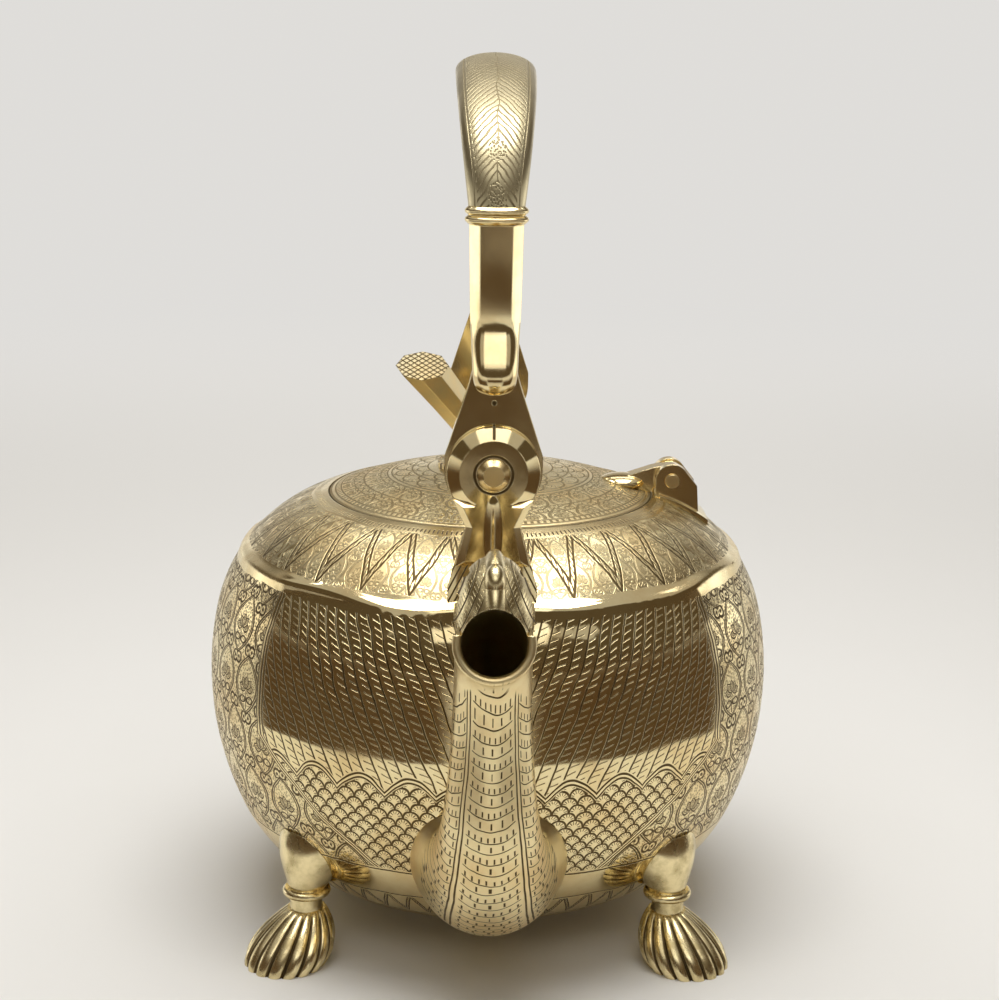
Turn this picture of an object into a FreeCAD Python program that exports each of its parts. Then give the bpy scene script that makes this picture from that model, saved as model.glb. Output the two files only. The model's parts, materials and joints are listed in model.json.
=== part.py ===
import FreeCAD, Part
import math
import os
import Sketcher

# Tea kettle with a swinging bail handle and a hinged lid.
# Frame: origin on the floor under the vessel's axis, +Z up, spout towards -Y, lid hinge towards +X.
# Driving sizes, in millimetres and degrees.
SIZES = [
    ("body_radius", "90"),
    ("belly_height", "76.8"),
    ("belly_arc", "99"),
    ("shoulder_arc", "48.3"),
    ("shoulder_start", "12.6"),
    ("lower_arc", "47.7"),
    ("lower_start", "24.6"),
    ("mouth_inset", "38"),
    ("base_inset", "40"),
    ("base_kick", "3"),
    ("body_wall", "1.6"),
    ("form_inset", "10"),
    ("ridge_lift", "37.1"),
    ("ridge_round", "3"),
    ("ridge_proud", "0.7"),
    ("tool_reach", "60"),
    ("solder_gap", "0.05"),
    ("running_gap", "0.08"),
    ("side_play", "0.4"),
    ("lid_gap", "0.5"),
    ("lid_rise", "9"),
    ("lid_sheet", "1.4"),
    ("lid_rest", "0.3"),
    ("seat_ledge", "3.7"),
    ("seat_lap", "4"),
    ("seat_depth", "4"),
    ("bezel_clear", "1.5"),
    ("bezel_wall", "1.2"),
    ("bezel_drop", "6.5"),
    ("finial_flange", "16.9"),
    ("finial_flange_edge", "1.6"),
    ("finial_flange_sweep", "17.4"),
    ("finial_collar", "8.2"),
    ("finial_collar_up", "3.4"),
    ("finial_root", "5.9"),
    ("finial_tip", "8.2"),
    ("finial_reach", "29"),
    ("finial_rise", "31"),
    ("finial_turn", "42"),
    ("finial_cut_tilt", "23"),
    ("stud_radius", "2"),
    ("stud_bite", "2.5"),
    ("nut_corner", "4.8"),
    ("nut_depth", "3"),
    ("hinge_out", "6"),
    ("hinge_up", "5"),
    ("hinge_pin_radius", "2.2"),
    ("hinge_barrel", "4.8"),
    ("strap_width", "6"),
    ("strap_reach", "17"),
    ("strap_sheet", "1.4"),
    ("strap_leaf_long", "7.5"),
    ("strap_leaf_wide", "6.5"),
    ("ear_radius", "5.3"),
    ("ear_thick", "3.2"),
    ("ear_foot_out", "9"),
    ("ear_shoulder_out", "8"),
    ("ear_shoulder_drop", "1.6"),
    ("ear_round_end", "30"),
    ("ear_drop", "16"),
    ("plate_thick", "1.3"),
    ("plate_half_wide", "9"),
    ("plate_start", "4"),
    ("plate_end", "11.5"),
    ("rivet_head", "1"),
    ("spout_root_inset", "24"),
    ("spout_root_drop", "30.8"),
    ("spout_root_pull", "66"),
    ("spout_root_dip", "16"),
    ("spout_root_half", "27"),
    ("spout_reach", "41"),
    ("spout_mouth_rise", "47.2"),
    ("spout_mouth_pull", "39"),
    ("spout_mouth_tilt", "18"),
    ("spout_mouth_half", "10.35"),
    ("spout_wall", "1.7"),
    ("hood_long", "15.5"),
    ("hood_half_wide", "10.7"),
    ("hood_high", "16"),
    ("hood_back", "7"),
    ("hood_up", "7.5"),
    ("hood_side_up", "2"),
    ("hood_ridge_half", "5.4"),
    ("hood_ridge_proud", "1.5"),
    ("nose_forward", "11.2"),
    ("nose_up", "7.8"),
    ("nose_half_wide", "3"),
    ("nose_half_long", "5"),
    ("nose_half_high", "5.2"),
    ("hood_flute_half", "1.4"),
    ("hood_flute_long", "10.5"),
    ("lip_round", "1.15"),
    ("pivot_up", "22.2"),
    ("tongue_inset", "20"),
    ("tongue_thick", "3.6"),
    ("eye_radius", "13.9"),
    ("neck_half", "8"),
    ("tongue_flare_up", "4.5"),
    ("pivot_pin_radius", "3"),
    ("pivot_head_radius", "4.6"),
    ("pivot_head_up", "1.8"),
    ("washer_radius", "6"),
    ("washer_thick", "1.1"),
    ("lug_plate", "2.6"),
    ("lug_bevel", "2.2"),
    ("lug_head", "13.2"),
    ("lug_face", "9.7"),
    ("lug_head_end", "22"),
    ("lug_horn_half", "11.4"),
    ("lug_horn_drop", "7.6"),
    ("lug_waist_half", "7.8"),
    ("lug_waist_drop", "15.5"),
    ("lug_base_half", "12.8"),
    ("lug_base_drop", "33"),
    ("lug_root_drop", "44"),
    ("lug_neck_half", "10.4"),
    ("lug_neck_drop", "27"),
    ("lug_neck_chamfer", "1.9"),
    ("lug_notch_half", "6.6"),
    ("lug_notch_drop", "7.4"),
    ("lug_web_half", "5"),
    ("lug_stem_half_wide", "2.8"),
    ("lug_stem_half_deep", "2.2"),
    ("lug_stem_sunk", "0.8"),
    ("lug_stem_drop", "17"),
    ("lug_stem_half_high", "12"),
    ("leg_half_wide", "7.6"),
    ("leg_half_deep", "5"),
    ("leg_facet", "3"),
    ("leg_rise", "24.5"),
    ("leg_long", "45"),
    ("toe_half_wide", "8.6"),
    ("toe_half_deep", "8.2"),
    ("toe_half_high", "8.6"),
    ("toe_up", "6.4"),
    ("collar_high", "4.8"),
    ("collar_half_wide", "8.9"),
    ("collar_half_deep", "6.3"),
    ("collar_groove", "0.9"),
    ("tenon_half_wide", "5.2"),
    ("tenon_half_deep", "2.6"),
    ("tenon_bite", "4"),
    ("grip_rise", "35.5"),
    ("grip_end_half_wide", "7.9"),
    ("grip_mid_half_wide", "12.2"),
    ("grip_half_deep", "5.4"),
    ("grip_wall", "1.5"),
    ("foot_inset", "2.5"),
    ("foot_bearing", "45"),
    ("paw_radius", "11.2"),
    ("paw_swell", "0.8"),
    ("paw_swell_up", "3"),
    ("paw_knee_up", "9.5"),
    ("paw_knee_radius", "10.2"),
    ("paw_high", "15.5"),
    ("paw_lean", "9"),
    ("ankle_radius", "5.4"),
    ("ankle_high", "5.5"),
    ("ring_radius", "7.4"),
    ("ring_round", "1.3"),
    ("cup_radius", "12.5"),
    ("cup_knee_up", "6.7"),
    ("cup_high", "20"),
    ("cup_lean", "7"),
    ("lobe_round", "1.15"),
]
# Counts of repeats and of the sections that shape a loft.
PAW_LOBES = 16
SPOUT_SECTIONS = 7
GRIP_SECTIONS = 9
COLLAR_SECTIONS = 9
NUT_SIDES = 6
FINIAL_SIDES = 8
# Bearings of the beak's side flutes, in degrees from its ridge.
HOOD_FLUTES = (-74, -46, 46, 74)

doc = FreeCAD.newDocument("tea_kettle")
sheet = doc.addObject("Spreadsheet::Sheet", "sizes")
fits = doc.addObject("App::VarSet", "fits")
nodes = {}


def fill_sheet():
    for row, (name, value) in enumerate(SIZES, start=1):
        sheet.set(f"A{row}", name)
        sheet.set(f"B{row}", value)
        sheet.setAlias(f"B{row}", name)
    doc.recompute()


def derive(name, formula):
    fits.addProperty("App::PropertyFloat", name)
    fits.setExpression(name, formula)


def number(formula):
    return float(fits.evalExpression(formula))


def node(label, thing):
    thing.Label = label
    nodes[label] = thing
    return thing


# Small makers for parametric pieces
def made(kind, name, **formulas):
    thing = doc.addObject(kind, name)
    for prop, formula in formulas.items():
        thing.setExpression(prop, formula)
    return thing


def place(thing, x="0", y="0", z="0", axis=(1, 0, 0), turn="0"):
    ax, ay, az = axis
    thing.setExpression("Placement", f"placement(vector({x}; {y}; {z});"
                                     f" rotation(vector({ax}; {ay}; {az}); {turn}))")
    return thing


def post(name, radius, low, high, x="0", y="0"):
    bar = made("Part::Cylinder", name, Radius=radius, Height=f"{high} - ({low})")
    return place(bar, x, y, low)


def rod(name, radius, start, length, x="0", z="0"):
    """Round bar that runs outwards, towards the spout side, from a distance off the middle plane."""
    bar = made("Part::Cylinder", name, Radius=radius, Height=length)
    return place(bar, x, f"-({start})", z, turn="90")


def egg(name, x, y, z, half_x, half_y, half_z, turn="0"):
    """Ellipsoid given by its centre and three half sizes."""
    ball = made("Part::Ellipsoid", name, Radius1=half_z, Radius2=half_x, Radius3=half_y)
    ball.Angle1 = -90
    return place(ball, x, y, z, turn=turn)


def cut(name, base, *tools):
    for index, tool in enumerate(tools):
        step = doc.addObject("Part::Cut", f"{name}_cut_{index}")
        step.Base = base
        step.Tool = tool
        base = step
    return base


def fuse(name, *shapes):
    whole = doc.addObject("Part::MultiFuse", f"{name}_whole")
    whole.Shapes = list(shapes)
    return whole


def common(name, first, second):
    shared = doc.addObject("Part::MultiCommon", f"{name}_common")
    shared.Shapes = [first, second]
    return shared


def mirrored(name, source, normal):
    twin = doc.addObject("Part::Mirroring", name)
    twin.Source = source
    twin.Normal = normal
    return twin


def ellipse(name, half_wide, half_deep, x="0", y="0", z="0", turn="0"):
    """Section ring whose width lies along X and whose depth tips about X."""
    ring = made("Part::Ellipse", name, MajorRadius=half_wide, MinorRadius=half_deep)
    return place(ring, x, y, z, turn=turn)


def loft(name, sections, ruled=False):
    body = doc.addObject("Part::Loft", name)
    body.Sections = sections
    body.Solid = True
    body.Ruled = ruled
    return body


def new_body(name):
    return doc.addObject("PartDesign::Body", name)


def attach(body, plane, name):
    sketch = body.newObject("Sketcher::SketchObject", name)
    origin = [item for item in body.Origin.OriginFeatures if item.Role == plane][0]
    sketch.AttachmentSupport = [(origin, "")]
    sketch.MapMode = "FlatFace"
    return sketch


def edge_between(first, last, radius):
    """Line, or the lesser arc that turns left for a positive radius and right for a negative one."""
    if radius is None:
        return Part.LineSegment(first, last), 1
    start, end = (first, last) if radius > 0 else (last, first)
    chord = end - start
    side = FreeCAD.Vector(-chord.y, chord.x, 0).normalize()
    rise = math.sqrt(max(radius ** 2 - chord.Length ** 2 / 4, 0))
    centre = (start + end) * 0.5 + side * rise
    begin = math.atan2(start.y - centre.y, start.x - centre.x)
    finish = math.atan2(end.y - centre.y, end.x - centre.x)
    if finish < begin:
        finish += 2 * math.pi
    circle = Part.Circle(centre, FreeCAD.Vector(0, 0, 1), abs(radius))
    return Part.ArcOfCircle(circle, begin, finish), 1 if radius > 0 else 2


def bind(sketch, kind, formula, *where):
    index = sketch.addConstraint(Sketcher.Constraint(kind, *where, number(formula)))
    sketch.setExpression(f"Constraints[{index}]", formula)


def outline(body, plane, corners, name="outline"):
    """Closed outline whose corners are (across, up) or (across, up, radius of the arc that leads on)."""
    sketch = attach(body, plane, name)
    points = [FreeCAD.Vector(number(c[0]), number(c[1]), 0) for c in corners]
    starts = []
    for index, corner in enumerate(corners):
        radius = corner[2] if len(corner) > 2 else None
        following = points[(index + 1) % len(points)]
        edge, start = edge_between(points[index], following, number(radius) if radius else None)
        sketch.addGeometry(edge, False)
        starts.append(start)
    for index, corner in enumerate(corners):
        after = (index + 1) % len(corners)
        ends = (index, 3 - starts[index], after, starts[after])
        sketch.addConstraint(Sketcher.Constraint("Coincident", *ends))
        across, up = corner[:2]
        for kind, axis, formula in (("DistanceX", -2, across), ("DistanceY", -1, up)):
            if formula == "0":
                sketch.addConstraint(Sketcher.Constraint("PointOnObject", index, starts[index], axis))
            else:
                bind(sketch, kind, formula, -1, 1, index, starts[index])
        if len(corner) > 2:
            bind(sketch, "Radius", f"abs({corner[2]})", index)
    return sketch


def turned(name, corners):
    """Solid of revolution about the upright axis from a half outline of (radius, height) corners."""
    body = new_body(name)
    spin = body.newObject("PartDesign::Revolution", "spin")
    sketch = outline(body, "XZ_Plane", corners)
    spin.Profile = sketch
    spin.ReferenceAxis = (sketch, ["V_Axis"])
    spin.Angle = 360
    return body


def slab(name, plane, corners, thick, both_ways=False):
    """Plate cut to an outline; it thickens along the plane's normal, or to both sides of the plane."""
    body = new_body(name)
    sketch = outline(body, plane, corners)
    pad = body.newObject("PartDesign::Pad", "pad")
    pad.Profile = sketch
    pad.setExpression("Length", thick)
    if both_ways:
        pad.SideType = "Symmetric"
    return body


def chamfer_far_face(body, size):
    """Bevels the edges of the face of a slab that lies farthest from its sketch plane."""
    doc.recompute()
    pad = body.Tip
    faces = pad.Shape.Faces
    reach = max(range(len(faces)), key=lambda index: abs(faces[index].CenterOfMass.y))
    chamfer = body.newObject("PartDesign::Chamfer", "chamfer")
    chamfer.Base = (pad, [f"Face{reach + 1}"])
    chamfer.setExpression("Size", size)
    body.Tip = chamfer


# Heights of the vessel's curved wall, grown or shrunk by a shift
def shoulder_at(radius, shift="0"):
    return (f"(fits.shoulder_centre_z + sqrt((sizes.shoulder_arc + {shift})^2"
            f" - ({radius} - fits.shoulder_centre_r)^2))")


def lower_at(radius, shift="0"):
    return (f"(fits.lower_centre_z - sqrt((sizes.lower_arc + {shift})^2"
            f" - ({radius} - fits.lower_centre_r)^2))")


def dome_at(radius, shift="0"):
    return f"(fits.dome_centre_z + sqrt((fits.dome_ball + {shift})^2 - ({radius})^2))"


def derive_fits():
    derive("mouth_radius", "sizes.body_radius - sizes.mouth_inset")
    derive("base_radius", "sizes.body_radius - sizes.base_inset")
    derive("foot_out", "sizes.body_radius - sizes.foot_inset")
    derive("tongue_inner", "sizes.body_radius - sizes.tongue_inset")
    derive("spout_root_out", "sizes.body_radius - sizes.spout_root_inset")
    derive("spout_root_up", "sizes.belly_height - sizes.spout_root_drop")
    derive("spout_mouth_out", "sizes.body_radius + sizes.spout_reach")
    derive("spout_mouth_up", "sizes.belly_height + sizes.spout_mouth_rise")
    derive("belly_centre_r", "sizes.body_radius - sizes.belly_arc")
    swing_top = "(sizes.belly_arc - sizes.shoulder_arc)"
    swing_low = "(sizes.belly_arc - sizes.lower_arc)"
    derive("shoulder_centre_r", f"fits.belly_centre_r + {swing_top} * cos(sizes.shoulder_start)")
    derive("shoulder_centre_z", f"sizes.belly_height + {swing_top} * sin(sizes.shoulder_start)")
    derive("lower_centre_r", f"fits.belly_centre_r + {swing_low} * cos(sizes.lower_start)")
    derive("lower_centre_z", f"sizes.belly_height - {swing_low} * sin(sizes.lower_start)")
    derive("rim_height", shoulder_at("fits.mouth_radius"))
    derive("base_height", lower_at("fits.base_radius"))
    derive("ridge_radius", "fits.shoulder_centre_r + sizes.shoulder_arc * cos(sizes.ridge_lift)")
    derive("ridge_z", "fits.shoulder_centre_z + sizes.shoulder_arc * sin(sizes.ridge_lift)")
    derive("pivot_height", "fits.rim_height + sizes.pivot_up")
    derive("lid_radius", "fits.mouth_radius - sizes.lid_gap")
    derive("dome_ball", "(fits.lid_radius^2 + sizes.lid_rise^2) / (2 * sizes.lid_rise)")
    derive("dome_top", "fits.rim_height + sizes.lid_rise")
    derive("dome_centre_z", "fits.dome_top - fits.dome_ball")
    derive("lid_under", dome_at("fits.lid_radius", "-sizes.lid_sheet"))
    derive("seat_top", "fits.lid_under - sizes.lid_rest")
    derive("seat_inner", "fits.mouth_radius - sizes.seat_ledge")
    derive("bezel_outer", "fits.seat_inner - sizes.bezel_clear")
    derive("finial_seat", "fits.dome_top + sizes.finial_collar_up")
    derive("hinge_x", "fits.mouth_radius + sizes.hinge_out")
    derive("hinge_z", "fits.rim_height + sizes.hinge_up")
    derive("ear_inner", "sizes.strap_width / 2 + sizes.side_play")
    derive("ear_outer", "fits.ear_inner + sizes.ear_thick")
    derive("lug_inner", "fits.tongue_inner + sizes.tongue_thick + sizes.side_play")
    derive("lug_front", "fits.lug_inner + sizes.lug_plate + sizes.lug_bevel")
    derive("washer_outer", "fits.tongue_inner - sizes.side_play")
    derive("washer_inner", "fits.washer_outer - sizes.washer_thick")
    derive("leg_out", "fits.tongue_inner + sizes.tongue_thick / 2")
    derive("toe_height", "fits.pivot_height + sizes.leg_rise")
    derive("leg_top", "fits.toe_height + sizes.leg_long")
    derive("collar_low", "fits.leg_top + sizes.solder_gap")
    derive("collar_top", "fits.collar_low + sizes.collar_high")
    derive("grip_low", "fits.collar_top + sizes.solder_gap")
    derive("ankle_low", "sizes.paw_high - sizes.ring_round")
    derive("ring_z", "sizes.paw_high + sizes.ankle_high")
    derive("ankle_out", "fits.foot_out - sizes.paw_lean")
    doc.recompute()


def vessel_form(name, shift):
    """Filled vessel shape, grown by a shift, which makes the wall and seats whatever stands on it."""
    top_r = "(fits.mouth_radius - sizes.form_inset)"
    low_r = "(fits.base_radius - sizes.form_inset)"
    belly = f"(sizes.belly_arc + {shift})"
    corners = [
        ("0", lower_at(low_r, shift)),
        (low_r, lower_at(low_r, shift), f"(sizes.lower_arc + {shift})"),
        (f"fits.belly_centre_r + {belly} * cos(sizes.lower_start)",
         f"sizes.belly_height - {belly} * sin(sizes.lower_start)", belly),
        (f"fits.belly_centre_r + {belly} * cos(sizes.shoulder_start)",
         f"sizes.belly_height + {belly} * sin(sizes.shoulder_start)", f"(sizes.shoulder_arc + {shift})"),
        (top_r, shoulder_at(top_r, shift)),
        ("0", shoulder_at(top_r, shift)),
    ]
    return turned(name, corners)


# Spout: sections along a curve that leaves the body low and level and ends in a forward mouth
def bend(start, pull, reach, end, along):
    """Point of a four-point curve, written as a formula."""
    back = f"(1 - {along})"
    return (f"({back}^3 * ({start}) + 3 * {back}^2 * {along} * ({pull})"
            f" + 3 * {back} * {along}^2 * ({reach}) + {along}^3 * ({end}))")


def bend_slope(start, pull, reach, end, along):
    back = f"(1 - {along})"
    return (f"({back}^2 * ({pull} - ({start})) + 2 * {back} * {along} * ({reach} - ({pull}))"
            f" + {along}^2 * ({end} - ({reach})))")


def spout_form(name, shrink):
    out = ("fits.spout_root_out", "fits.spout_root_out + sizes.spout_root_pull",
           "fits.spout_mouth_out - sizes.spout_mouth_pull * cos(sizes.spout_mouth_tilt)",
           "fits.spout_mouth_out")
    up = ("fits.spout_root_up", "fits.spout_root_up - sizes.spout_root_dip",
          "fits.spout_mouth_up - sizes.spout_mouth_pull * sin(sizes.spout_mouth_tilt)",
          "fits.spout_mouth_up")
    rings = []
    for index in range(SPOUT_SECTIONS):
        along = str(index / (SPOUT_SECTIONS - 1))
        taper = f"(1 - {along})^3"
        swell = f"(sizes.spout_root_half - sizes.spout_mouth_half) * {taper}"
        turn = f"atan2({bend_slope(*out, along)}; {bend_slope(*up, along)})"
        ring = made("Part::Circle", f"{name}_ring_{index}",
                    Radius=f"sizes.spout_mouth_half + {swell} - {shrink}")
        rings.append(place(ring, y=f"-{bend(*out, along)}", z=bend(*up, along), turn=turn))
    return loft(name, rings)


def build_vessel():
    outside = vessel_form("vessel_outside", "0")
    inside = vessel_form("vessel_inside", "(-sizes.body_wall)")
    seat = vessel_form("vessel_seat", "sizes.solder_gap")
    liner = vessel_form("vessel_liner", "(-sizes.body_wall - sizes.solder_gap)")
    spout_outside = spout_form("spout_outside", "0")
    spout_bore = spout_form("spout_bore", "sizes.spout_wall")
    mouth = post("mouth_hole", "fits.mouth_radius", "sizes.belly_height", "fits.pivot_height")
    base_hole = post("base_hole", "fits.base_radius", "0", "sizes.belly_height")
    ridge = made("Part::Torus", "shoulder_ridge", Radius2="sizes.ridge_round",
                 Radius1="fits.ridge_radius - sizes.ridge_round + sizes.ridge_proud")
    place(ridge, z="fits.ridge_z")
    formed = fuse("formed_wall", outside, ridge)
    node("body_shell", cut("body_shell", formed, inside, mouth, base_hole, spout_bore))

    dish_edge = "(fits.base_radius - sizes.solder_gap)"
    kicked = f"(({dish_edge}^2 + sizes.base_kick^2) / (2 * sizes.base_kick))"
    node("base_dish", turned("base_dish", [
        ("0", "fits.base_height + sizes.base_kick", f"-{kicked}"),
        (dish_edge, "fits.base_height"),
        (dish_edge, "fits.base_height + sizes.body_wall", kicked),
        ("0", "fits.base_height + sizes.base_kick + sizes.body_wall"),
    ]))

    lap = "(fits.mouth_radius + sizes.seat_lap)"
    ring = turned("seat_blank", [
        ("fits.seat_inner", "fits.seat_top - sizes.seat_depth"),
        (lap, "fits.seat_top - sizes.seat_depth"),
        (lap, "fits.seat_top"),
        ("fits.seat_inner", "fits.seat_top"),
    ])
    node("lid_seat_ring", common("lid_seat_ring", ring, liner))

    return seat, spout_outside, spout_bore


def build_spout(seat, spout_outside, spout_bore):
    """Spout with a rolled lower lip, and the beak hood with a ridge and fluted sides over its mouth."""
    tilt = "sizes.spout_mouth_tilt"
    out = f"(fits.spout_mouth_out - sizes.hood_back * cos({tilt}) - sizes.hood_up * sin({tilt}))"
    up = f"(fits.spout_mouth_up - sizes.hood_back * sin({tilt}) + sizes.hood_up * cos({tilt}))"
    cap = egg("hood_cap", "0", f"-{out}", up, "sizes.hood_half_wide", "sizes.hood_long",
              "sizes.hood_high", turn=f"-{tilt}")
    ridge = egg("hood_ridge", "0", f"-{out}", up, "sizes.hood_ridge_half",
                "(sizes.hood_long + sizes.hood_ridge_proud)", "(sizes.hood_high + sizes.hood_ridge_proud)",
                turn=f"-{tilt}")
    nose = egg("beak_nose", "0", f"-({out} + sizes.nose_forward * cos({tilt}) - sizes.nose_up * sin({tilt}))",
               f"{up} + sizes.nose_forward * sin({tilt}) + sizes.nose_up * cos({tilt})",
               "sizes.nose_half_wide", "sizes.nose_half_long", "sizes.nose_half_high", turn=f"-{tilt}")
    flutes = []
    for index, bearing in enumerate(HOOD_FLUTES):
        across = f"sizes.hood_half_wide * sin({bearing})"
        lift = f"sizes.hood_high * cos({bearing})"
        flutes.append(egg(f"hood_flute_{index}", across, f"-({out} - {lift} * sin({tilt}))",
                          f"{up} + {lift} * cos({tilt})", "sizes.hood_flute_half", "sizes.hood_flute_long",
                          "sizes.hood_flute_half", turn=f"-{tilt}"))
    below = made("Part::Box", "hood_below", Length="2 * sizes.tool_reach", Width="2 * sizes.tool_reach",
                 Height="sizes.tool_reach")
    drop = "(sizes.tool_reach - sizes.hood_side_up)"
    away = "sizes.tool_reach"
    place(below, f"-{away}", f"-fits.spout_mouth_out - {away} * cos({tilt}) - {drop} * sin({tilt})",
          f"fits.spout_mouth_up + {away} * sin({tilt}) - {drop} * cos({tilt})", turn=f"-{tilt}")
    roll = made("Part::Torus", "lip_roll", Radius2="sizes.lip_round",
                Radius1="sizes.spout_mouth_half - sizes.spout_wall + sizes.lip_round + sizes.solder_gap")
    place(roll, y="-fits.spout_mouth_out", z="fits.spout_mouth_up", turn=f"90 - {tilt}")
    lipped = fuse("lipped_spout", spout_outside, common("lower_lip", roll, below))
    node("spout", cut("spout", lipped, seat, spout_bore))

    bore = made("Part::Cylinder", "hood_bore", Radius="sizes.spout_mouth_half - sizes.spout_wall",
                Height="sizes.tool_reach")
    place(bore, "0", "-fits.spout_mouth_out", "fits.spout_mouth_up", turn=f"90 - {tilt}")
    beak = fuse("beak", cap, ridge, nose)
    node("spout_hood", cut("spout_hood", beak, spout_outside, bore, below, *flutes))


def paw_section(body, index, out, height, radius):
    """Scalloped ring of lobes at one height of the paw."""
    corners = []
    for lobe in range(PAW_LOBES):
        angle = 360 * lobe / PAW_LOBES
        corners.append((f"{out} + {radius} * cos({angle})", f"{radius} * sin({angle})" if lobe else "0",
                        f"{radius} * sin({180 / PAW_LOBES}) * sizes.lobe_round"))
    half = PAW_LOBES // 2
    corners[half] = (corners[half][0], "0", corners[half][2])
    sketch = outline(body, "XY_Plane", corners, f"paw_ring_{index}")
    sketch.setExpression("AttachmentOffset.Base.z", height)
    return sketch


def build_feet(seat):
    """Cast foot: fluted paw, ankle, ring and a cup that flares on to the body."""
    paw = new_body("paw")
    rings = [
        paw_section(paw, 0, "fits.foot_out", "0", "sizes.paw_radius"),
        paw_section(paw, 1, "(fits.foot_out - sizes.paw_lean * sizes.paw_swell_up / sizes.paw_high)",
                    "sizes.paw_swell_up", "(sizes.paw_radius + sizes.paw_swell)"),
        paw_section(paw, 2, "(fits.foot_out - sizes.paw_lean * sizes.paw_knee_up / sizes.paw_high)",
                    "sizes.paw_knee_up", "sizes.paw_knee_radius"),
        paw_section(paw, 3, "fits.ankle_out", "sizes.paw_high", "sizes.ankle_radius"),
    ]
    fan = paw.newObject("PartDesign::AdditiveLoft", "fan")
    fan.Profile = rings[0]
    fan.Sections = rings[1:]
    steps = [
        ("sizes.ankle_radius", "fits.ankle_out", "fits.ankle_low"),
        ("sizes.ankle_radius", "fits.ankle_out", "fits.ring_z"),
        ("(sizes.ankle_radius + sizes.cup_radius) / 2",
         "fits.ankle_out - sizes.cup_lean * sizes.cup_knee_up / sizes.cup_high",
         "fits.ring_z + sizes.cup_knee_up"),
        ("sizes.cup_radius", "fits.ankle_out - sizes.cup_lean", "fits.ring_z + sizes.cup_high"),
    ]
    ankle_rings = []
    for index, (radius, out, height) in enumerate(steps):
        ring = made("Part::Circle", f"ankle_ring_{index}", Radius=radius)
        ankle_rings.append(place(ring, out, "0", height))
    ankle = loft("ankle", ankle_rings)
    bead = made("Part::Torus", "ankle_bead", Radius1="sizes.ring_radius - sizes.ring_round",
                Radius2="sizes.ring_round")
    place(bead, "fits.ankle_out", "0", "fits.ring_z")
    foot = cut("foot", fuse("foot", paw, ankle, bead), seat)
    place(foot, axis=(0, 0, 1), turn="-sizes.foot_bearing")
    node("front_right_foot", foot)
    node("front_left_foot", mirrored("front_left_foot", foot, (1, 0, 0)))
    rear = node("rear_right_foot", mirrored("rear_right_foot", foot, (0, 1, 0)))
    node("rear_left_foot", mirrored("rear_left_foot", rear, (1, 0, 0)))


def build_lid():
    edge = "fits.lid_radius"
    stud_hole = post("stud_hole", "sizes.stud_radius + sizes.solder_gap", "sizes.belly_height",
                     "fits.finial_seat + sizes.stud_bite + sizes.solder_gap")
    cover = turned("lid_cover_blank", [
        ("0", "fits.dome_top - sizes.lid_sheet", "-(fits.dome_ball - sizes.lid_sheet)"),
        (edge, "fits.lid_under"),
        (edge, "fits.rim_height", "fits.dome_ball"),
        ("0", "fits.dome_top"),
    ])
    node("lid_cover", cut("lid_cover", cover, stud_hole))

    under = made("Part::Sphere", "dome_under", Radius="fits.dome_ball - sizes.lid_sheet - sizes.solder_gap")
    place(under, z="fits.dome_centre_z")
    inner = "(fits.bezel_outer - sizes.bezel_wall)"
    low = "fits.rim_height - sizes.bezel_drop"
    bezel = turned("bezel_blank", [
        (inner, low),
        ("fits.bezel_outer", low),
        ("fits.bezel_outer", "fits.dome_top"),
        (inner, "fits.dome_top"),
    ])
    node("lid_bezel", common("lid_bezel", bezel, under))

    over = made("Part::Sphere", "dome_over", Radius="fits.dome_ball + sizes.solder_gap")
    place(over, z="fits.dome_centre_z")
    flange_top = "fits.dome_top + sizes.finial_flange_edge"
    rosette = turned("finial_base_blank", [
        ("0", "fits.rim_height"),
        ("sizes.finial_flange", "fits.rim_height"),
        ("sizes.finial_flange", f"{dome_at('sizes.finial_flange')} + sizes.finial_flange_edge",
         "-sizes.finial_flange_sweep"),
        ("sizes.finial_collar", flange_top),
        ("sizes.finial_collar", "fits.finial_seat"),
        ("0", "fits.finial_seat"),
    ])
    node("finial_base", cut("finial_base", rosette, over, stud_hole))

    root = made("Part::RegularPolygon", "finial_root_ring", Circumradius="sizes.finial_root")
    place(root, z="fits.finial_seat + sizes.solder_gap")
    tip = made("Part::RegularPolygon", "finial_tip_ring", Circumradius="sizes.finial_tip")
    place(tip, "-sizes.finial_reach * cos(sizes.finial_turn)", "-sizes.finial_reach * sin(sizes.finial_turn)",
          "fits.finial_seat + sizes.finial_rise", turn="sizes.finial_cut_tilt")
    for ring in (root, tip):
        ring.Polygon = FINIAL_SIDES
    node("finial", cut("finial", loft("finial_stub", [root, tip], ruled=True), stud_hole))

    nut_top = f"({dome_at('sizes.nut_corner', '-sizes.lid_sheet')} - sizes.solder_gap)"
    stud_low = f"({nut_top} - sizes.nut_depth - sizes.rivet_head)"
    stud_top = "fits.finial_seat + sizes.stud_bite"
    node("finial_stud", post("finial_stud", "sizes.stud_radius", stud_low, stud_top))
    blank = made("Part::Prism", "nut_blank", Circumradius="sizes.nut_corner", Height="sizes.nut_depth")
    blank.Polygon = NUT_SIDES
    place(blank, z=f"{nut_top} - sizes.nut_depth")
    node("finial_nut", cut("finial_nut", blank, stud_hole))
    return over


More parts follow.
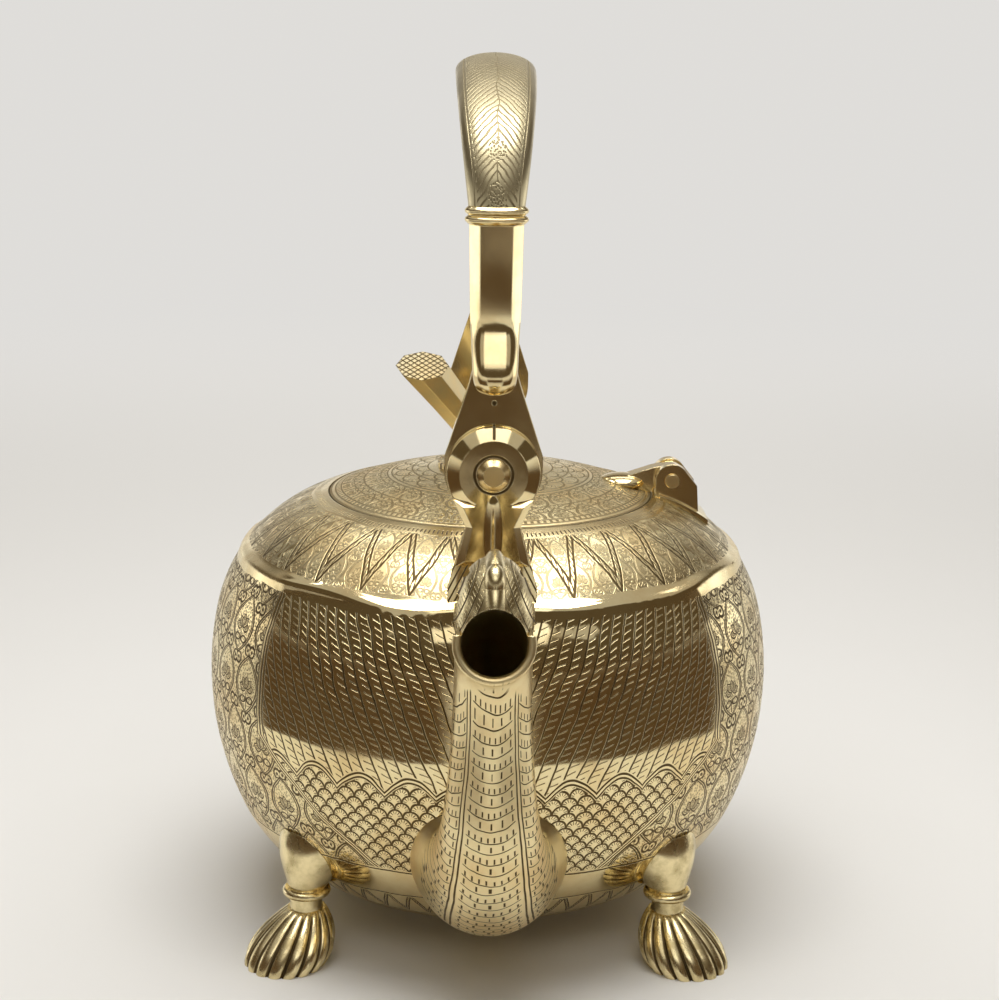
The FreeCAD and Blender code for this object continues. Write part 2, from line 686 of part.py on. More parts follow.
def build_lid_hinge(seat, over):
    """Lid strap with a barrel between two ears on the body, and the pin through all three."""
    x, z = "fits.hinge_x", "fits.hinge_z"
    toe = f"({x} - sizes.strap_reach)"
    under = dome_at("fits.lid_radius")
    strap = slab("strap_arm", "XZ_Plane", [
        (toe, under),
        (f"{x} - sizes.hinge_out - 2 * sizes.lid_gap", under),
        (f"{x} - sizes.hinge_barrel", f"{z} - sizes.hinge_barrel / 2"),
        (x, z),
        (x, f"{z} + sizes.hinge_barrel"),
        (f"{x} - sizes.hinge_barrel - sizes.strap_sheet", f"{z} + sizes.hinge_barrel - sizes.strap_sheet"),
        (toe, f"{dome_at(toe)} + sizes.strap_sheet"),
    ], "sizes.strap_width", both_ways=True)
    barrel = rod("strap_barrel", "sizes.hinge_barrel", "-sizes.strap_width / 2", "sizes.strap_width", x, z)
    leaf = egg("strap_leaf", f"{toe} + sizes.strap_sheet", "0", dome_at(toe), "sizes.strap_leaf_long",
               "sizes.strap_leaf_wide", "2 * sizes.strap_sheet")
    bore = rod("barrel_bore", "sizes.hinge_pin_radius + sizes.running_gap", "-sizes.strap_width",
               "2 * sizes.strap_width", x, z)
    node("lid_hinge_strap", cut("lid_hinge_strap", fuse("strap", strap, barrel, leaf), over, bore))

    radius = "sizes.ear_radius"
    ears = []
    for side, start in (("front", "fits.ear_inner"), ("rear", "-fits.ear_outer")):
        ear = slab(f"{side}_ear", "XZ_Plane", [
            (f"{x} - {radius}", z, f"-{radius}"),
            (x, f"{z} + {radius}", f"-{radius}"),
            (f"{x} + {radius} * cos(sizes.ear_round_end)", f"{z} + {radius} * sin(sizes.ear_round_end)"),
            (f"{x} + sizes.ear_shoulder_out", f"{z} - sizes.ear_shoulder_drop"),
            (f"{x} + sizes.ear_foot_out", f"{z} - sizes.ear_drop"),
            (f"{x} - {radius}", f"{z} - sizes.ear_drop"),
        ], "sizes.ear_thick")
        ear.setExpression("Placement.Base.y", f"-({start})")
        ears.append(ear)
    cover = vessel_form("bracket_cover", "(sizes.solder_gap + sizes.plate_thick)")
    patch = made("Part::Box", "bracket_patch", Length="sizes.plate_start + sizes.plate_end",
                 Width="2 * sizes.plate_half_wide", Height="fits.pivot_height")
    place(patch, f"{x} - sizes.plate_start", "-sizes.plate_half_wide", "sizes.belly_height")
    plate = common("bracket_plate", patch, cover)
    hole = rod("ear_bore", "sizes.hinge_pin_radius + sizes.solder_gap", "-sizes.tool_reach / 2",
               "sizes.tool_reach", x, z)
    node("hinge_bracket", cut("hinge_bracket", fuse("bracket", plate, *ears), seat, hole))

    reach = "(fits.ear_outer + sizes.rivet_head)"
    node("lid_hinge_pin", rod("lid_hinge_pin", "sizes.hinge_pin_radius", f"-{reach}", f"2 * {reach}", x, z))


def build_bail_pivots(seat):
    """Lug soldered on the shoulder, with the rivet that the bail turns on."""
    z = "fits.pivot_height"
    head, face = "sizes.lug_head", "sizes.lug_face"
    left = [
        ("-sizes.lug_base_half", f"{z} - sizes.lug_root_drop"),
        ("-sizes.lug_base_half", f"{z} - sizes.lug_base_drop"),
        ("-sizes.lug_waist_half", f"{z} - sizes.lug_waist_drop"),
        ("-sizes.lug_horn_half", f"{z} - sizes.lug_horn_drop"),
    ]
    right = [(f"-({across})", up) for across, up in reversed(left)]
    crown_across = f"{head} * cos(sizes.lug_head_end)"
    crown_up = f"{z} - {head} * sin(sizes.lug_head_end)"
    crown = [
        (f"-{crown_across}", crown_up, f"-{head}"),
        ("0", f"{z} + {head}", f"-{head}"),
        (crown_across, crown_up),
    ]
    corners = left + crown + right
    plate = slab("lug_plate", "XZ_Plane", corners, "sizes.lug_plate")
    plate.setExpression("Placement.Base.y", "-fits.lug_inner")
    bevel = made("Part::Cone", "lug_bevel", Radius1=head, Radius2=face, Height="sizes.lug_bevel")
    place(bevel, "0", "-(fits.lug_inner + sizes.lug_plate)", z, turn="90")
    neck_side = [
        ("-sizes.lug_neck_half", f"{z} - sizes.lug_neck_drop"),
        ("-sizes.lug_waist_half", f"{z} - sizes.lug_waist_drop"),
        ("-sizes.lug_horn_half", f"{z} - sizes.lug_horn_drop"),
        ("-sizes.lug_notch_half", f"{z} - sizes.lug_notch_drop"),
        ("-sizes.lug_web_half", z),
    ]
    neck_corners = neck_side + [(f"-({across})", up) for across, up in reversed(neck_side)]
    horned_neck = slab("lug_neck", "XZ_Plane", neck_corners, "sizes.lug_plate + sizes.lug_bevel")
    horned_neck.setExpression("Placement.Base.y", "-fits.lug_inner")
    chamfer_far_face(horned_neck, "sizes.lug_neck_chamfer")
    stem = egg("lug_stem", "0", "-(fits.lug_front - sizes.lug_stem_sunk)", f"{z} - sizes.lug_stem_drop",
               "sizes.lug_stem_half_wide", "sizes.lug_stem_half_deep", "sizes.lug_stem_half_high")
    bore = rod("lug_bore", "sizes.pivot_pin_radius + sizes.solder_gap", "fits.washer_inner",
               "2 * fits.tongue_inner", z=z)
    blank = fuse("lug", plate, bevel, horned_neck, stem)
    lug = node("front_bail_lug", cut("front_bail_lug", blank, seat, bore))
    node("rear_bail_lug", mirrored("rear_bail_lug", lug, (0, 1, 0)))

    shank_start = "(fits.washer_inner - sizes.rivet_head)"
    shank = rod("pivot_shank", "sizes.pivot_pin_radius", shank_start, f"fits.lug_front - {shank_start}",
                z=z)
    tail = rod("pivot_tail", "sizes.pivot_head_radius", shank_start, "sizes.rivet_head - sizes.solder_gap",
               z=z)
    cap = made("Part::Cone", "pivot_cap", Radius1="sizes.pivot_head_radius", Radius2="sizes.pivot_pin_radius",
               Height="sizes.pivot_head_up")
    place(cap, "0", "-(fits.lug_front + sizes.solder_gap)", z, turn="90")
    neck = rod("pivot_cap_neck", "sizes.pivot_pin_radius", "fits.lug_front - sizes.lug_bevel",
               "sizes.lug_bevel + sizes.pivot_head_up", z=z)
    pin = node("front_bail_pin", fuse("front_bail_pin", shank, tail, cap, neck))
    node("rear_bail_pin", mirrored("rear_bail_pin", pin, (0, 1, 0)))

    disc = rod("washer_disc", "sizes.washer_radius", "fits.washer_inner", "sizes.washer_thick", z=z)
    hole = rod("washer_hole", "sizes.pivot_pin_radius + sizes.solder_gap",
               "fits.washer_inner - sizes.washer_thick", "3 * sizes.washer_thick", z=z)
    washer = node("front_bail_washer", cut("front_bail_washer", disc, hole))
    node("rear_bail_washer", mirrored("rear_bail_washer", washer, (0, 1, 0)))


def build_bail_leg():
    """Faceted leg with a rounded toe, a flaring tongue below it and a tenon on top."""
    z = "fits.pivot_height"
    wide, deep, facet = "sizes.leg_half_wide", "sizes.leg_half_deep", "sizes.leg_facet"
    corners = []
    for sx, sy in ((1, -1), (1, 1), (-1, 1), (-1, -1)):
        near = (f"{sx} * {wide}", f"{sy} * ({deep} - {facet} / 2)")
        far = (f"{sx} * ({wide} - {facet})", f"{sy} * {deep}")
        corners += [far, near] if sx * sy < 0 else [near, far]
    shaft = slab("leg_shaft", "XY_Plane", corners, "sizes.leg_long - sizes.toe_up")
    place(shaft, "0", "-fits.leg_out", "fits.toe_height + sizes.toe_up")
    toe = egg("leg_toe", "0", "-fits.leg_out", "fits.toe_height + sizes.toe_up",
              "sizes.toe_half_wide", "sizes.toe_half_deep", "sizes.toe_half_high")
    eye = "sizes.eye_radius"
    tongue = slab("tongue", "XZ_Plane", [
        (f"-{eye}", z, eye),
        ("0", f"{z} - {eye}", eye),
        (eye, z),
        (eye, f"{z} + sizes.tongue_flare_up"),
        ("sizes.neck_half", "fits.toe_height"),
        ("sizes.neck_half - sizes.leg_facet / 2", "fits.toe_height + sizes.toe_up"),
        ("-(sizes.neck_half - sizes.leg_facet / 2)", "fits.toe_height + sizes.toe_up"),
        ("-sizes.neck_half", "fits.toe_height"),
        (f"-{eye}", f"{z} + sizes.tongue_flare_up"),
    ], "sizes.tongue_thick")
    tongue.setExpression("Placement.Base.y", "-fits.tongue_inner")
    tenon = doc.addObject("Part::Extrusion", "leg_tenon")
    tenon.Base = ellipse("tenon_ring", "sizes.tenon_half_wide", "sizes.tenon_half_deep", "0", "-fits.leg_out",
                         "fits.leg_top - sizes.tenon_bite")
    tenon.DirMode = "Custom"
    tenon.Dir = (0, 0, 1)
    tenon.setExpression("LengthFwd", "2 * sizes.tenon_bite + sizes.collar_high")
    tenon.Solid = True
    bore = rod("tongue_bore", "sizes.pivot_pin_radius + sizes.running_gap",
               "fits.washer_inner", "2 * sizes.tongue_thick + sizes.washer_thick", z=z)
    leg = node("bail_front_leg", cut("bail_front_leg", fuse("leg", shaft, toe, tongue, tenon), bore))
    node("bail_rear_leg", mirrored("bail_rear_leg", leg, (0, 1, 0)))


def build_bail_collar():
    """Two soft beads round the joint of leg and grip."""
    rings = []
    for index in range(COLLAR_SECTIONS):
        along = index / (COLLAR_SECTIONS - 1)
        pinch = f"sizes.collar_groove * {round(1 - abs(math.sin(2 * math.pi * along)), 4)}"
        rings.append(ellipse(f"collar_ring_{index}", f"sizes.collar_half_wide - {pinch}",
                             f"sizes.collar_half_deep - {pinch}", "0", "-fits.leg_out",
                             f"fits.collar_low + sizes.collar_high * {along}"))
    hole = doc.addObject("Part::Extrusion", "collar_hole")
    hole.Base = ellipse("collar_hole_ring", "sizes.tenon_half_wide + sizes.solder_gap",
                        "sizes.tenon_half_deep + sizes.solder_gap", "0", "-fits.leg_out",
                        "fits.collar_low - sizes.collar_high")
    hole.DirMode = "Custom"
    hole.Dir = (0, 0, 1)
    hole.setExpression("LengthFwd", "3 * sizes.collar_high")
    hole.Solid = True
    collar = node("bail_front_collar", cut("bail_front_collar", loft("collar_beads", rings), hole))
    node("bail_rear_collar", mirrored("bail_rear_collar", collar, (0, 1, 0)))


def grip_form(name, shrink):
    """Arched grip, widest over the lid, from rings along a half oval."""
    rings = []
    for index in range(GRIP_SECTIONS):
        angle = -90 + 180 * index / (GRIP_SECTIONS - 1)
        swell = f"cos({angle})"
        half_wide = (f"sizes.grip_end_half_wide + (sizes.grip_mid_half_wide - sizes.grip_end_half_wide)"
                     f" * {swell} - {shrink}")
        turn = f"-atan2(fits.leg_out * cos({angle}); -sizes.grip_rise * sin({angle}))"
        rings.append(ellipse(f"{name}_ring_{index}", half_wide, f"sizes.grip_half_deep - {shrink}",
                             y=f"fits.leg_out * sin({angle})",
                             z=f"fits.grip_low + sizes.grip_rise * cos({angle})", turn=turn))
    return loft(name, rings)


def build_grip():
    outside = grip_form("grip_outside", "0")
    hollow = grip_form("grip_hollow", "sizes.grip_wall")
    node("bail_grip", cut("bail_grip", outside, hollow))


def check_and_write():
    doc.recompute()
    for thing in doc.Objects:
        if {"Invalid", "Error"} & set(thing.State):
            raise RuntimeError(f"{thing.Label} failed: {thing.getStatusString()}")
    for label, thing in nodes.items():
        if thing.Shape.isNull() or not thing.Shape.isValid():
            raise RuntimeError(f"{label} has no valid shape")
    os.makedirs("parts", exist_ok=True)
    for label, thing in nodes.items():
        solids = thing.Shape.Solids
        print(label, len(solids), "solid", round(thing.Shape.Volume), "mm3")
        thing.Shape.exportStep(f"parts/{label}.step")


fill_sheet()
derive_fits()
vessel_seat, spout_skin, spout_hollow = build_vessel()
build_spout(vessel_seat, spout_skin, spout_hollow)
build_feet(vessel_seat)
dome_skin = build_lid()
build_lid_hinge(vessel_seat, dome_skin)
build_bail_pivots(vessel_seat)
build_bail_leg()
build_bail_collar()
build_grip()
check_and_write()
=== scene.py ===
import json
import math

import bmesh
import bpy
from mathutils import Matrix, Vector


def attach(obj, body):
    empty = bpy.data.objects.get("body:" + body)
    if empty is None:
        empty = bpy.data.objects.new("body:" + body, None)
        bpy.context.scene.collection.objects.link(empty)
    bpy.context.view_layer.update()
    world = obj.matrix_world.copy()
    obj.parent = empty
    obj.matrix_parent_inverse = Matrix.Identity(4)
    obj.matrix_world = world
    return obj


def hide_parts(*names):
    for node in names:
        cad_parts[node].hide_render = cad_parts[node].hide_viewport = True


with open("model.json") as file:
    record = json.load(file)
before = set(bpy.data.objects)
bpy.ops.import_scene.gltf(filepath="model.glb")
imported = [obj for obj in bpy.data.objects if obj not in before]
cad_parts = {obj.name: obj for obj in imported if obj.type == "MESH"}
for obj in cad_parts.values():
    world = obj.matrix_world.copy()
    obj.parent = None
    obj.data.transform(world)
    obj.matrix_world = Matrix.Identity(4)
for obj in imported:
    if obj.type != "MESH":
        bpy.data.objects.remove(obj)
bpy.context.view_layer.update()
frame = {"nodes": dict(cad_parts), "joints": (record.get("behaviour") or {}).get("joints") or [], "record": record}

MILLIMETRE = 0.001
TO_DEGREES = 180 / math.pi
# Places and steps that the ornament follows, in millimetres; the flutes' turn is in degrees
BELLY_HEIGHT = 76.8
PIVOT_HEIGHT = next(j["pos_m"][2] for j in frame["joints"] if j["name"] == "bail_swing") / MILLIMETRE
SOLE_X = frame["record"]["mounts"][0]["pos_m"][0] / MILLIMETRE
PAW_HEIGHT, PAW_LEAN = 15.5, 9.0
FLUTE_TURN = 22.5
FINIAL_TIP_Y, FINIAL_TIP_Z, FINIAL_TILT = -19.4, 178.1, math.radians(23)
HATCH_STEP = 2.4
SPOUT_BEND_OUT, SPOUT_BEND_UP = 60.0, 75.0
SPOUT_BAND_LOW_HALF, SPOUT_BAND_TOP_HALF = 11.4, 5.9
GRIP_CENTRE_UP, GRIP_END_UP, GRIP_RISE = 215.0, 231.0, 40.0
LID_RINGS = (49.6, 47.8, 40.5, 33.0, 31.6, 25.0, 20.0)

# Bands of the body's ornament, in degrees: bearing round the vessel, elevation from the belly's middle
PANEL_BEARING, PANEL_TUCK_BELOW, PANEL_TUCK = 50.0, -3.0, 1.15
BAND_LOW, BAND_TOP = -26.0, 25.0
SHOULDER_LOW, SHOULDER_TOP, SHOULDER_RISE, SHOULDER_TOOTH = 29.2, 44.6, 14.5, 12.0
MOUTH_TICKS_LOW, MOUTH_TICKS_TOP = 45.4, 46.6
MATTING_START, MATTING_FULL, PANEL_MATTING = 28.0, 31.0, 4.0
STRIP_WIDE, STRIP_LEAN, STRIP_STEP = 2.6, 0.42, 1.4
ARCH_UP, ARCH_RISE, ARCH_WIDE = -8.2, 3.4, 10.0
SCALE_WIDE, SCALE_HIGH = 3.3, 1.65
BOTTOM_LOW, BOTTOM_TOP, BOTTOM_RISE, BOTTOM_TOOTH = -41.5, -34.6, 7.0, 6.0
BODY_RINGS = (-26.6, -34.0, -42.4)
# Rows and ends of the spout's ornament, in degrees round the spout's bend
SPOUT_ROW, SPOUT_LOW, SPOUT_TOP = 3.3, -64.0, 27.0
# Rosettes of the grip and its barbs, in degrees from the grip's top
GRIP_ROSETTES, GRIP_BARB = (66.0, 76.0), 2.0

# Brass tones, linear
PALE_BRASS = (0.95, 0.81, 0.47, 1)
WARM_BRASS = (0.84, 0.65, 0.33, 1)
# Brown of the engraved cuts; it is also painted shade in the gap at the lid's edge and inside the vessel
CUT_AND_SHADE_BROWN = (0.085, 0.052, 0.018, 1)
DULL_BRASS = (0.66, 0.57, 0.35, 1)
GRIP_SHADE = (0.44, 0.38, 0.24, 1)
HOOD_TARNISH = (0.52, 0.42, 0.22, 1)
PAW_TARNISH = (0.5, 0.4, 0.2, 1)
# Painted shade: the inner surfaces' brass is darker than the outside's, for the shade inside the vessel
SHADED_INNER_BRASS = (0.42, 0.36, 0.24, 1)
# Finish of all the brass: edge radius and depth of the cuts in metres, then shares and roughness
EDGE_ROUND, CUT_DEPTH = 0.0004, 0.00008
WORN_PALE, WORN_SMOOTH, MATTED_ROUGH, CUT_ROUGH = 0.8, 0.04, 0.16, 0.3
# Studio tones, linear
FLOOR_PALE = (0.74, 0.73, 0.70, 1)
BACKDROP_PALE = (0.74, 0.725, 0.7, 1)
CARD_BROWN = (0.11, 0.068, 0.032, 1)
ROOM_DUSK = (0.09, 0.068, 0.042, 1)


def connect(tree, value, socket):
    """Links a wire to a socket, or sets the socket to a plain value."""
    if isinstance(value, Wire):
        tree.links.new(value.socket, socket)
    else:
        socket.default_value = value


class Wire:
    """A value in a node tree; ordinary arithmetic on it makes Math nodes."""

    def __init__(self, tree, socket):
        self.tree = tree
        self.socket = socket

    def math(self, operation, *others):
        """Math node with this value first and the others after it."""
        node = self.tree.nodes.new("ShaderNodeMath")
        node.operation = operation
        for socket, value in zip(node.inputs, (self, *others)):
            connect(self.tree, value, socket)
        return Wire(self.tree, node.outputs[0])

    def __add__(self, other):
        return self.math("ADD", other)

    def __sub__(self, other):
        return self.math("SUBTRACT", other)

    def __mul__(self, other):
        return self.math("MULTIPLY", other)

    def __truediv__(self, other):
        return self.math("DIVIDE", other)

    def __abs__(self):
        return self.math("ABSOLUTE")

    def fract(self):
        return self.math("FRACT")

    def floor(self):
        return self.math("FLOOR")

    def larger(self, other):
        return self.math("MAXIMUM", other)

    def smaller(self, other):
        return self.math("MINIMUM", other)

    def ramp(self, start, end, low=0.0, high=1.0):
        """Smooth step from low at start to high at end."""
        node = self.tree.nodes.new("ShaderNodeMapRange")
        node.interpolation_type = "SMOOTHSTEP"
        labels = ("Value", "From Min", "From Max", "To Min", "To Max")
        for label, value in zip(labels, (self, start, end, low, high)):
            connect(self.tree, value, node.inputs[label])
        return Wire(self.tree, node.outputs["Result"])

    def line(self, width):
        """Soft line where the value is near zero."""
        return abs(self).ramp(width * 0.5, width, 1.0, 0.0)

    def opposite(self):
        """What is left to 1."""
        return self * -1.0 + 1.0

    def between(self, low, high, soft):
        """Mask that is 1 from low to high, with soft edges outside them."""
        return self.ramp(low - soft, low) * self.ramp(high, high + soft, 1.0, 0.0)


def polar_length(x, y):
    return (x * x + y * y).math("SQRT")


def angle_of(y, x):
    return y.math("ARCTAN2", x)


def empty_group(name, inputs, outputs):
    """Shader node group with number inputs: its tree, its entry and its exit."""
    tree = bpy.data.node_groups.new(name, "ShaderNodeTree")
    for label, value in inputs.items():
        socket = tree.interface.new_socket(label, in_out="INPUT", socket_type="NodeSocketFloat")
        socket.default_value = value
    for label, kind in outputs.items():
        tree.interface.new_socket(label, in_out="OUTPUT", socket_type=kind)
    return tree, tree.nodes.new("NodeGroupInput"), tree.nodes.new("NodeGroupOutput")


def ornament_group(name, inputs, draw):
    """Group with one mask output, drawn by a function of its inputs."""
    tree, entry, leave = empty_group(name, inputs, {"Cut": "NodeSocketFloat"})
    cut = draw(*[Wire(tree, entry.outputs[label]) for label in inputs])
    tree.links.new(cut.socket, leave.inputs["Cut"])
    return tree


def add_group(tree, group, inputs):
    """Places a group in a tree with its own values; gives the placed node."""
    node = tree.nodes.new("ShaderNodeGroup")
    node.node_tree = group
    for label, value in inputs.items():
        connect(tree, value, node.inputs[label])
    return node


def engrave(group, **inputs):
    """Places an ornament group in the tree of its first wired input."""
    tree = next(value.tree for value in inputs.values() if isinstance(value, Wire))
    return Wire(tree, add_group(tree, group, inputs).outputs["Cut"])


# Engraver's ornaments: every one is a mask that is 1 in the cut
def draw_scales(across, row, width):
    """Overlapping scales: round tips, each row shifted by half a scale, with fine strokes inside."""
    shift = (row.floor() * 0.5).fract()
    x = (across + shift).fract() * 2.0 - 1.0
    y = row.fract()
    radius = polar_length(x, y)
    strokes = ((angle_of(y, x) * (6 / math.pi)).fract() - 0.5).line(0.2) * radius.between(0.42, 0.74, 0.06)
    return (radius - 0.95).line(width).larger(strokes * 0.85)


def draw_feather_rows(across, row, width):
    """Sagging arcs across a band, with close ticks over one arc and longer single dashes over the next."""
    y = row - across * across * 0.9
    other = ((y.floor() * 0.5).fract() * 2.0).math("ROUND")
    y = y.fract()
    arc = (abs(y - 0.5) - 0.5).line(width) * abs(across).ramp(0.86, 0.9, 1.0, 0.0)
    close = ((across * 4.5).fract() - 0.5).line(0.16) * y.between(0.12, 0.5, 0.05)
    apart = ((across * 2.5 + 0.5).fract() - 0.5).line(0.1) * y.between(0.22, 0.7, 0.05)
    strokes = (close * other).larger(apart * other.opposite())
    return arc.larger(strokes * abs(across).ramp(0.8, 0.84, 1.0, 0.0))


def draw_strips(strip, along, width):
    """Feather strips: long lines with a ladder of short strokes beside each line."""
    x = strip.fract()
    edge = (abs(x - 0.5) - 0.5).line(width)
    step = along + (strip.floor() * 12.9).math("SINE") * 4.7
    stroke = ((step - x * 0.8).fract() - 0.5).line(0.12) * x.between(0.12, 0.6, 0.06)
    return edge.larger(stroke * 0.8)


def draw_zigzag(across, rise, width):
    """Zigzag band: two lines with slanting strokes between them."""
    tooth = abs(across.fract() - 0.5) * 2.0
    step = rise - tooth
    strokes = ((across * 16.0 + rise).fract() - 0.5).line(0.22) * step.between(0.04, 0.2, 0.02)
    return step.line(width).larger((step - 0.25).line(width)).larger(strokes)


def petal_shape(x, y, turn):
    """Pointed petal that leaves the flower's foot at an angle; below zero inside it."""
    u = x * math.cos(turn) - y * math.sin(turn)
    v = x * math.sin(turn) + y * math.cos(turn) - 0.15
    return abs(u) + v * v * 5.0 - 0.068


def draw_scrolls(across, up, width):
    """Pointed ovals in half-drop rows, each with a lotus on its stem, two leaves and curls in its corners."""
    shift = (up.floor() * 0.5).fract()
    x = abs((across + shift).fract() - 0.5)
    y = up.fract() - 0.5
    lotus = None
    for turn in (0, 38, 76):
        petal = petal_shape(x, y + 0.1, math.radians(turn))
        outline = petal.line(width * 0.7).larger((petal + 0.045).line(width * 0.5) * 0.7)
        if lotus is None:
            lotus, covered = outline, petal
        else:
            lotus = lotus.larger(outline * covered.ramp(0.0, 0.012))
            covered = covered.smaller(petal)
    stem = x.line(width * 0.5) * y.between(-0.44, -0.12, 0.02)
    oval = x + y * y * 1.5
    frame_line = (oval - 0.43).line(width).larger((oval - 0.37).line(width * 0.7))
    leaf = (polar_length(x - 0.13, (y + 0.27) * 1.7) - 0.1).line(width)
    curl = (polar_length(x - 0.42, abs(y) - 0.4) - 0.1).line(width)
    bud = polar_length(x - 0.42, abs(y) - 0.4).ramp(0.02, 0.045, 1.0, 0.0)
    cut = lotus.larger(stem).larger(frame_line)
    return cut.larger(leaf).larger(curl).larger(bud)


def draw_stipple(across, up, size):
    """Punched dots of a matted ground."""
    tree = across.tree
    spot = tree.nodes.new("ShaderNodeCombineXYZ")
    tree.links.new(across.socket, spot.inputs["X"])
    tree.links.new(up.socket, spot.inputs["Y"])
    dots = tree.nodes.new("ShaderNodeTexVoronoi")
    dots.voronoi_dimensions = "2D"
    dots.inputs["Scale"].default_value = 1.0
    tree.links.new(spot.outputs[0], dots.inputs["Vector"])
    return Wire(tree, dots.outputs["Distance"]).ramp(size * 0.6, size, 1.0, 0.0)


def draw_chevrons(across, along, width):
    """Feather chevrons that meet in a middle line."""
    bend = along - abs(across) * 2.6
    barbs = (bend.fract() - 0.5).line(width * 3.0)
    return barbs.larger(across.line(width * 0.5))


ROW_INPUTS = {"Across": 0.0, "Row": 0.0, "Width": 0.08}
SCALES = ornament_group("engraved_scales", ROW_INPUTS, draw_scales)
FEATHER_ROWS = ornament_group("engraved_feather_rows", ROW_INPUTS, draw_feather_rows)
STRIPS = ornament_group("engraved_strips", {"Strip": 0.0, "Along": 0.0, "Width": 0.12}, draw_strips)
ZIGZAG = ornament_group("engraved_zigzag", {"Across": 0.0, "Rise": 0.0, "Width": 0.05}, draw_zigzag)
SCROLLS = ornament_group("engraved_scrolls", {"Across": 0.0, "Up": 0.0, "Width": 0.05}, draw_scrolls)
STIPPLE = ornament_group("punched_stipple", {"Across": 0.0, "Up": 0.0, "Size": 0.3}, draw_stipple)
CHEVRONS = ornament_group("engraved_chevrons", {"Across": 0.0, "Along": 0.0, "Width": 0.08}, draw_chevrons)


def make_patina_group():
    """Cloudy handling marks and shallow dents: a tone mask, a roughness and a height."""
    inputs = {"Cloud Size": 60.0, "Base Roughness": 0.16, "Spread": 0.1}
    outputs = dict.fromkeys(("Tone", "Roughness", "Dents"), "NodeSocketFloat")
    tree, entry, leave = empty_group("brass_patina", inputs, outputs)
    place = tree.nodes.new("ShaderNodeTexCoord")
    clouds = tree.nodes.new("ShaderNodeTexNoise")
    clouds.inputs["Detail"].default_value = 5.0
    clouds.inputs["Roughness"].default_value = 0.62
    tree.links.new(place.outputs["Object"], clouds.inputs["Vector"])
    tree.links.new(entry.outputs["Cloud Size"], clouds.inputs["Scale"])
    dents = tree.nodes.new("ShaderNodeTexNoise")
    dents.inputs["Scale"].default_value = 48.0
    dents.inputs["Detail"].default_value = 1.0
    tree.links.new(place.outputs["Object"], dents.inputs["Vector"])
    tone = Wire(tree, clouds.outputs["Fac"]).ramp(0.35, 0.72)
    rough = Wire(tree, entry.outputs["Base Roughness"]) + tone * Wire(tree, entry.outputs["Spread"])
    tree.links.new(tone.socket, leave.inputs["Tone"])
    tree.links.new(rough.socket, leave.inputs["Roughness"])
    tree.links.new(dents.outputs["Fac"], leave.inputs["Dents"])
    return tree


def make_worn_edge_group():
    """Rounded edges: a normal that goes round them and a mask of where handling has rubbed them."""
    outputs = {"Worn": "NodeSocketFloat", "Normal": "NodeSocketVector"}
    tree, entry, leave = empty_group("worn_edges", {"Radius": EDGE_ROUND}, outputs)
    rounded = tree.nodes.new("ShaderNodeBevel")
    rounded.samples = 4
    tree.links.new(entry.outputs["Radius"], rounded.inputs["Radius"])
    facing = tree.nodes.new("ShaderNodeNewGeometry")
    turn = tree.nodes.new("ShaderNodeVectorMath")
    turn.operation = "DOT_PRODUCT"
    tree.links.new(rounded.outputs["Normal"], turn.inputs[0])
    tree.links.new(facing.outputs["Normal"], turn.inputs[1])
    worn = Wire(tree, turn.outputs["Value"]).ramp(0.9, 0.995, 1.0, 0.0)
    tree.links.new(worn.socket, leave.inputs["Worn"])
    tree.links.new(rounded.outputs["Normal"], leave.inputs["Normal"])
    return tree


def make_wobble_group():
    """Two slow wandering values round zero: the unsteady hand that cuts the ornament."""
    outputs = dict.fromkeys(("Sway", "Heave"), "NodeSocketFloat")
    tree, entry, leave = empty_group("hand_wobble", {"Scale": 70.0}, outputs)
    place = tree.nodes.new("ShaderNodeTexCoord")
    wander = tree.nodes.new("ShaderNodeTexNoise")
    wander.inputs["Detail"].default_value = 2.0
    parts = tree.nodes.new("ShaderNodeSeparateColor")
    tree.links.new(place.outputs["Object"], wander.inputs["Vector"])
    tree.links.new(entry.outputs["Scale"], wander.inputs["Scale"])
    tree.links.new(wander.outputs["Color"], parts.inputs["Color"])
    for part, label in (("Red", "Sway"), ("Green", "Heave")):
        tree.links.new((Wire(tree, parts.outputs[part]) - 0.5).socket, leave.inputs[label])
    return tree


PATINA = make_patina_group()
WORN_EDGES = make_worn_edge_group()
HAND_WOBBLE = make_wobble_group()


def frame_wires(tree, axes="XYZ"):
    """Object coordinates along the axes, in millimetres."""
    place = tree.nodes.new("ShaderNodeTexCoord")
    parts = tree.nodes.new("ShaderNodeSeparateXYZ")
    tree.links.new(place.outputs["Object"], parts.inputs[0])
    return [Wire(tree, parts.outputs[axis]) / MILLIMETRE for axis in axes]


def hand_wobble(tree, scale):
    """Sway and heave of the engraver's hand; a larger scale makes them quicker."""
    hand = add_group(tree, HAND_WOBBLE, {"Scale": scale})
    return Wire(tree, hand.outputs["Sway"]), Wire(tree, hand.outputs["Heave"])


def tinted(tree, mask, base, tint):
    """Colour that goes from base to tint by a mask; base is a colour or the socket of one."""
    mix = tree.nodes.new("ShaderNodeMix")
    mix.data_type = "RGBA"
    if isinstance(base, tuple):
        mix.inputs["A"].default_value = base
    else:
        tree.links.new(base, mix.inputs["A"])
    mix.inputs["B"].default_value = tint
    tree.links.new(mask.socket, mix.inputs["Factor"])
    return mix.outputs["Result"]


def raised(tree, height, distance, normal, sunk=False):
    """Normal with a height worked into it."""
    bump = tree.nodes.new("ShaderNodeBump")
    bump.invert = sunk
    bump.inputs["Distance"].default_value = distance
    tree.links.new(height.socket, bump.inputs["Height"])
    tree.links.new(normal, bump.inputs["Normal"])
    return bump.outputs["Normal"]


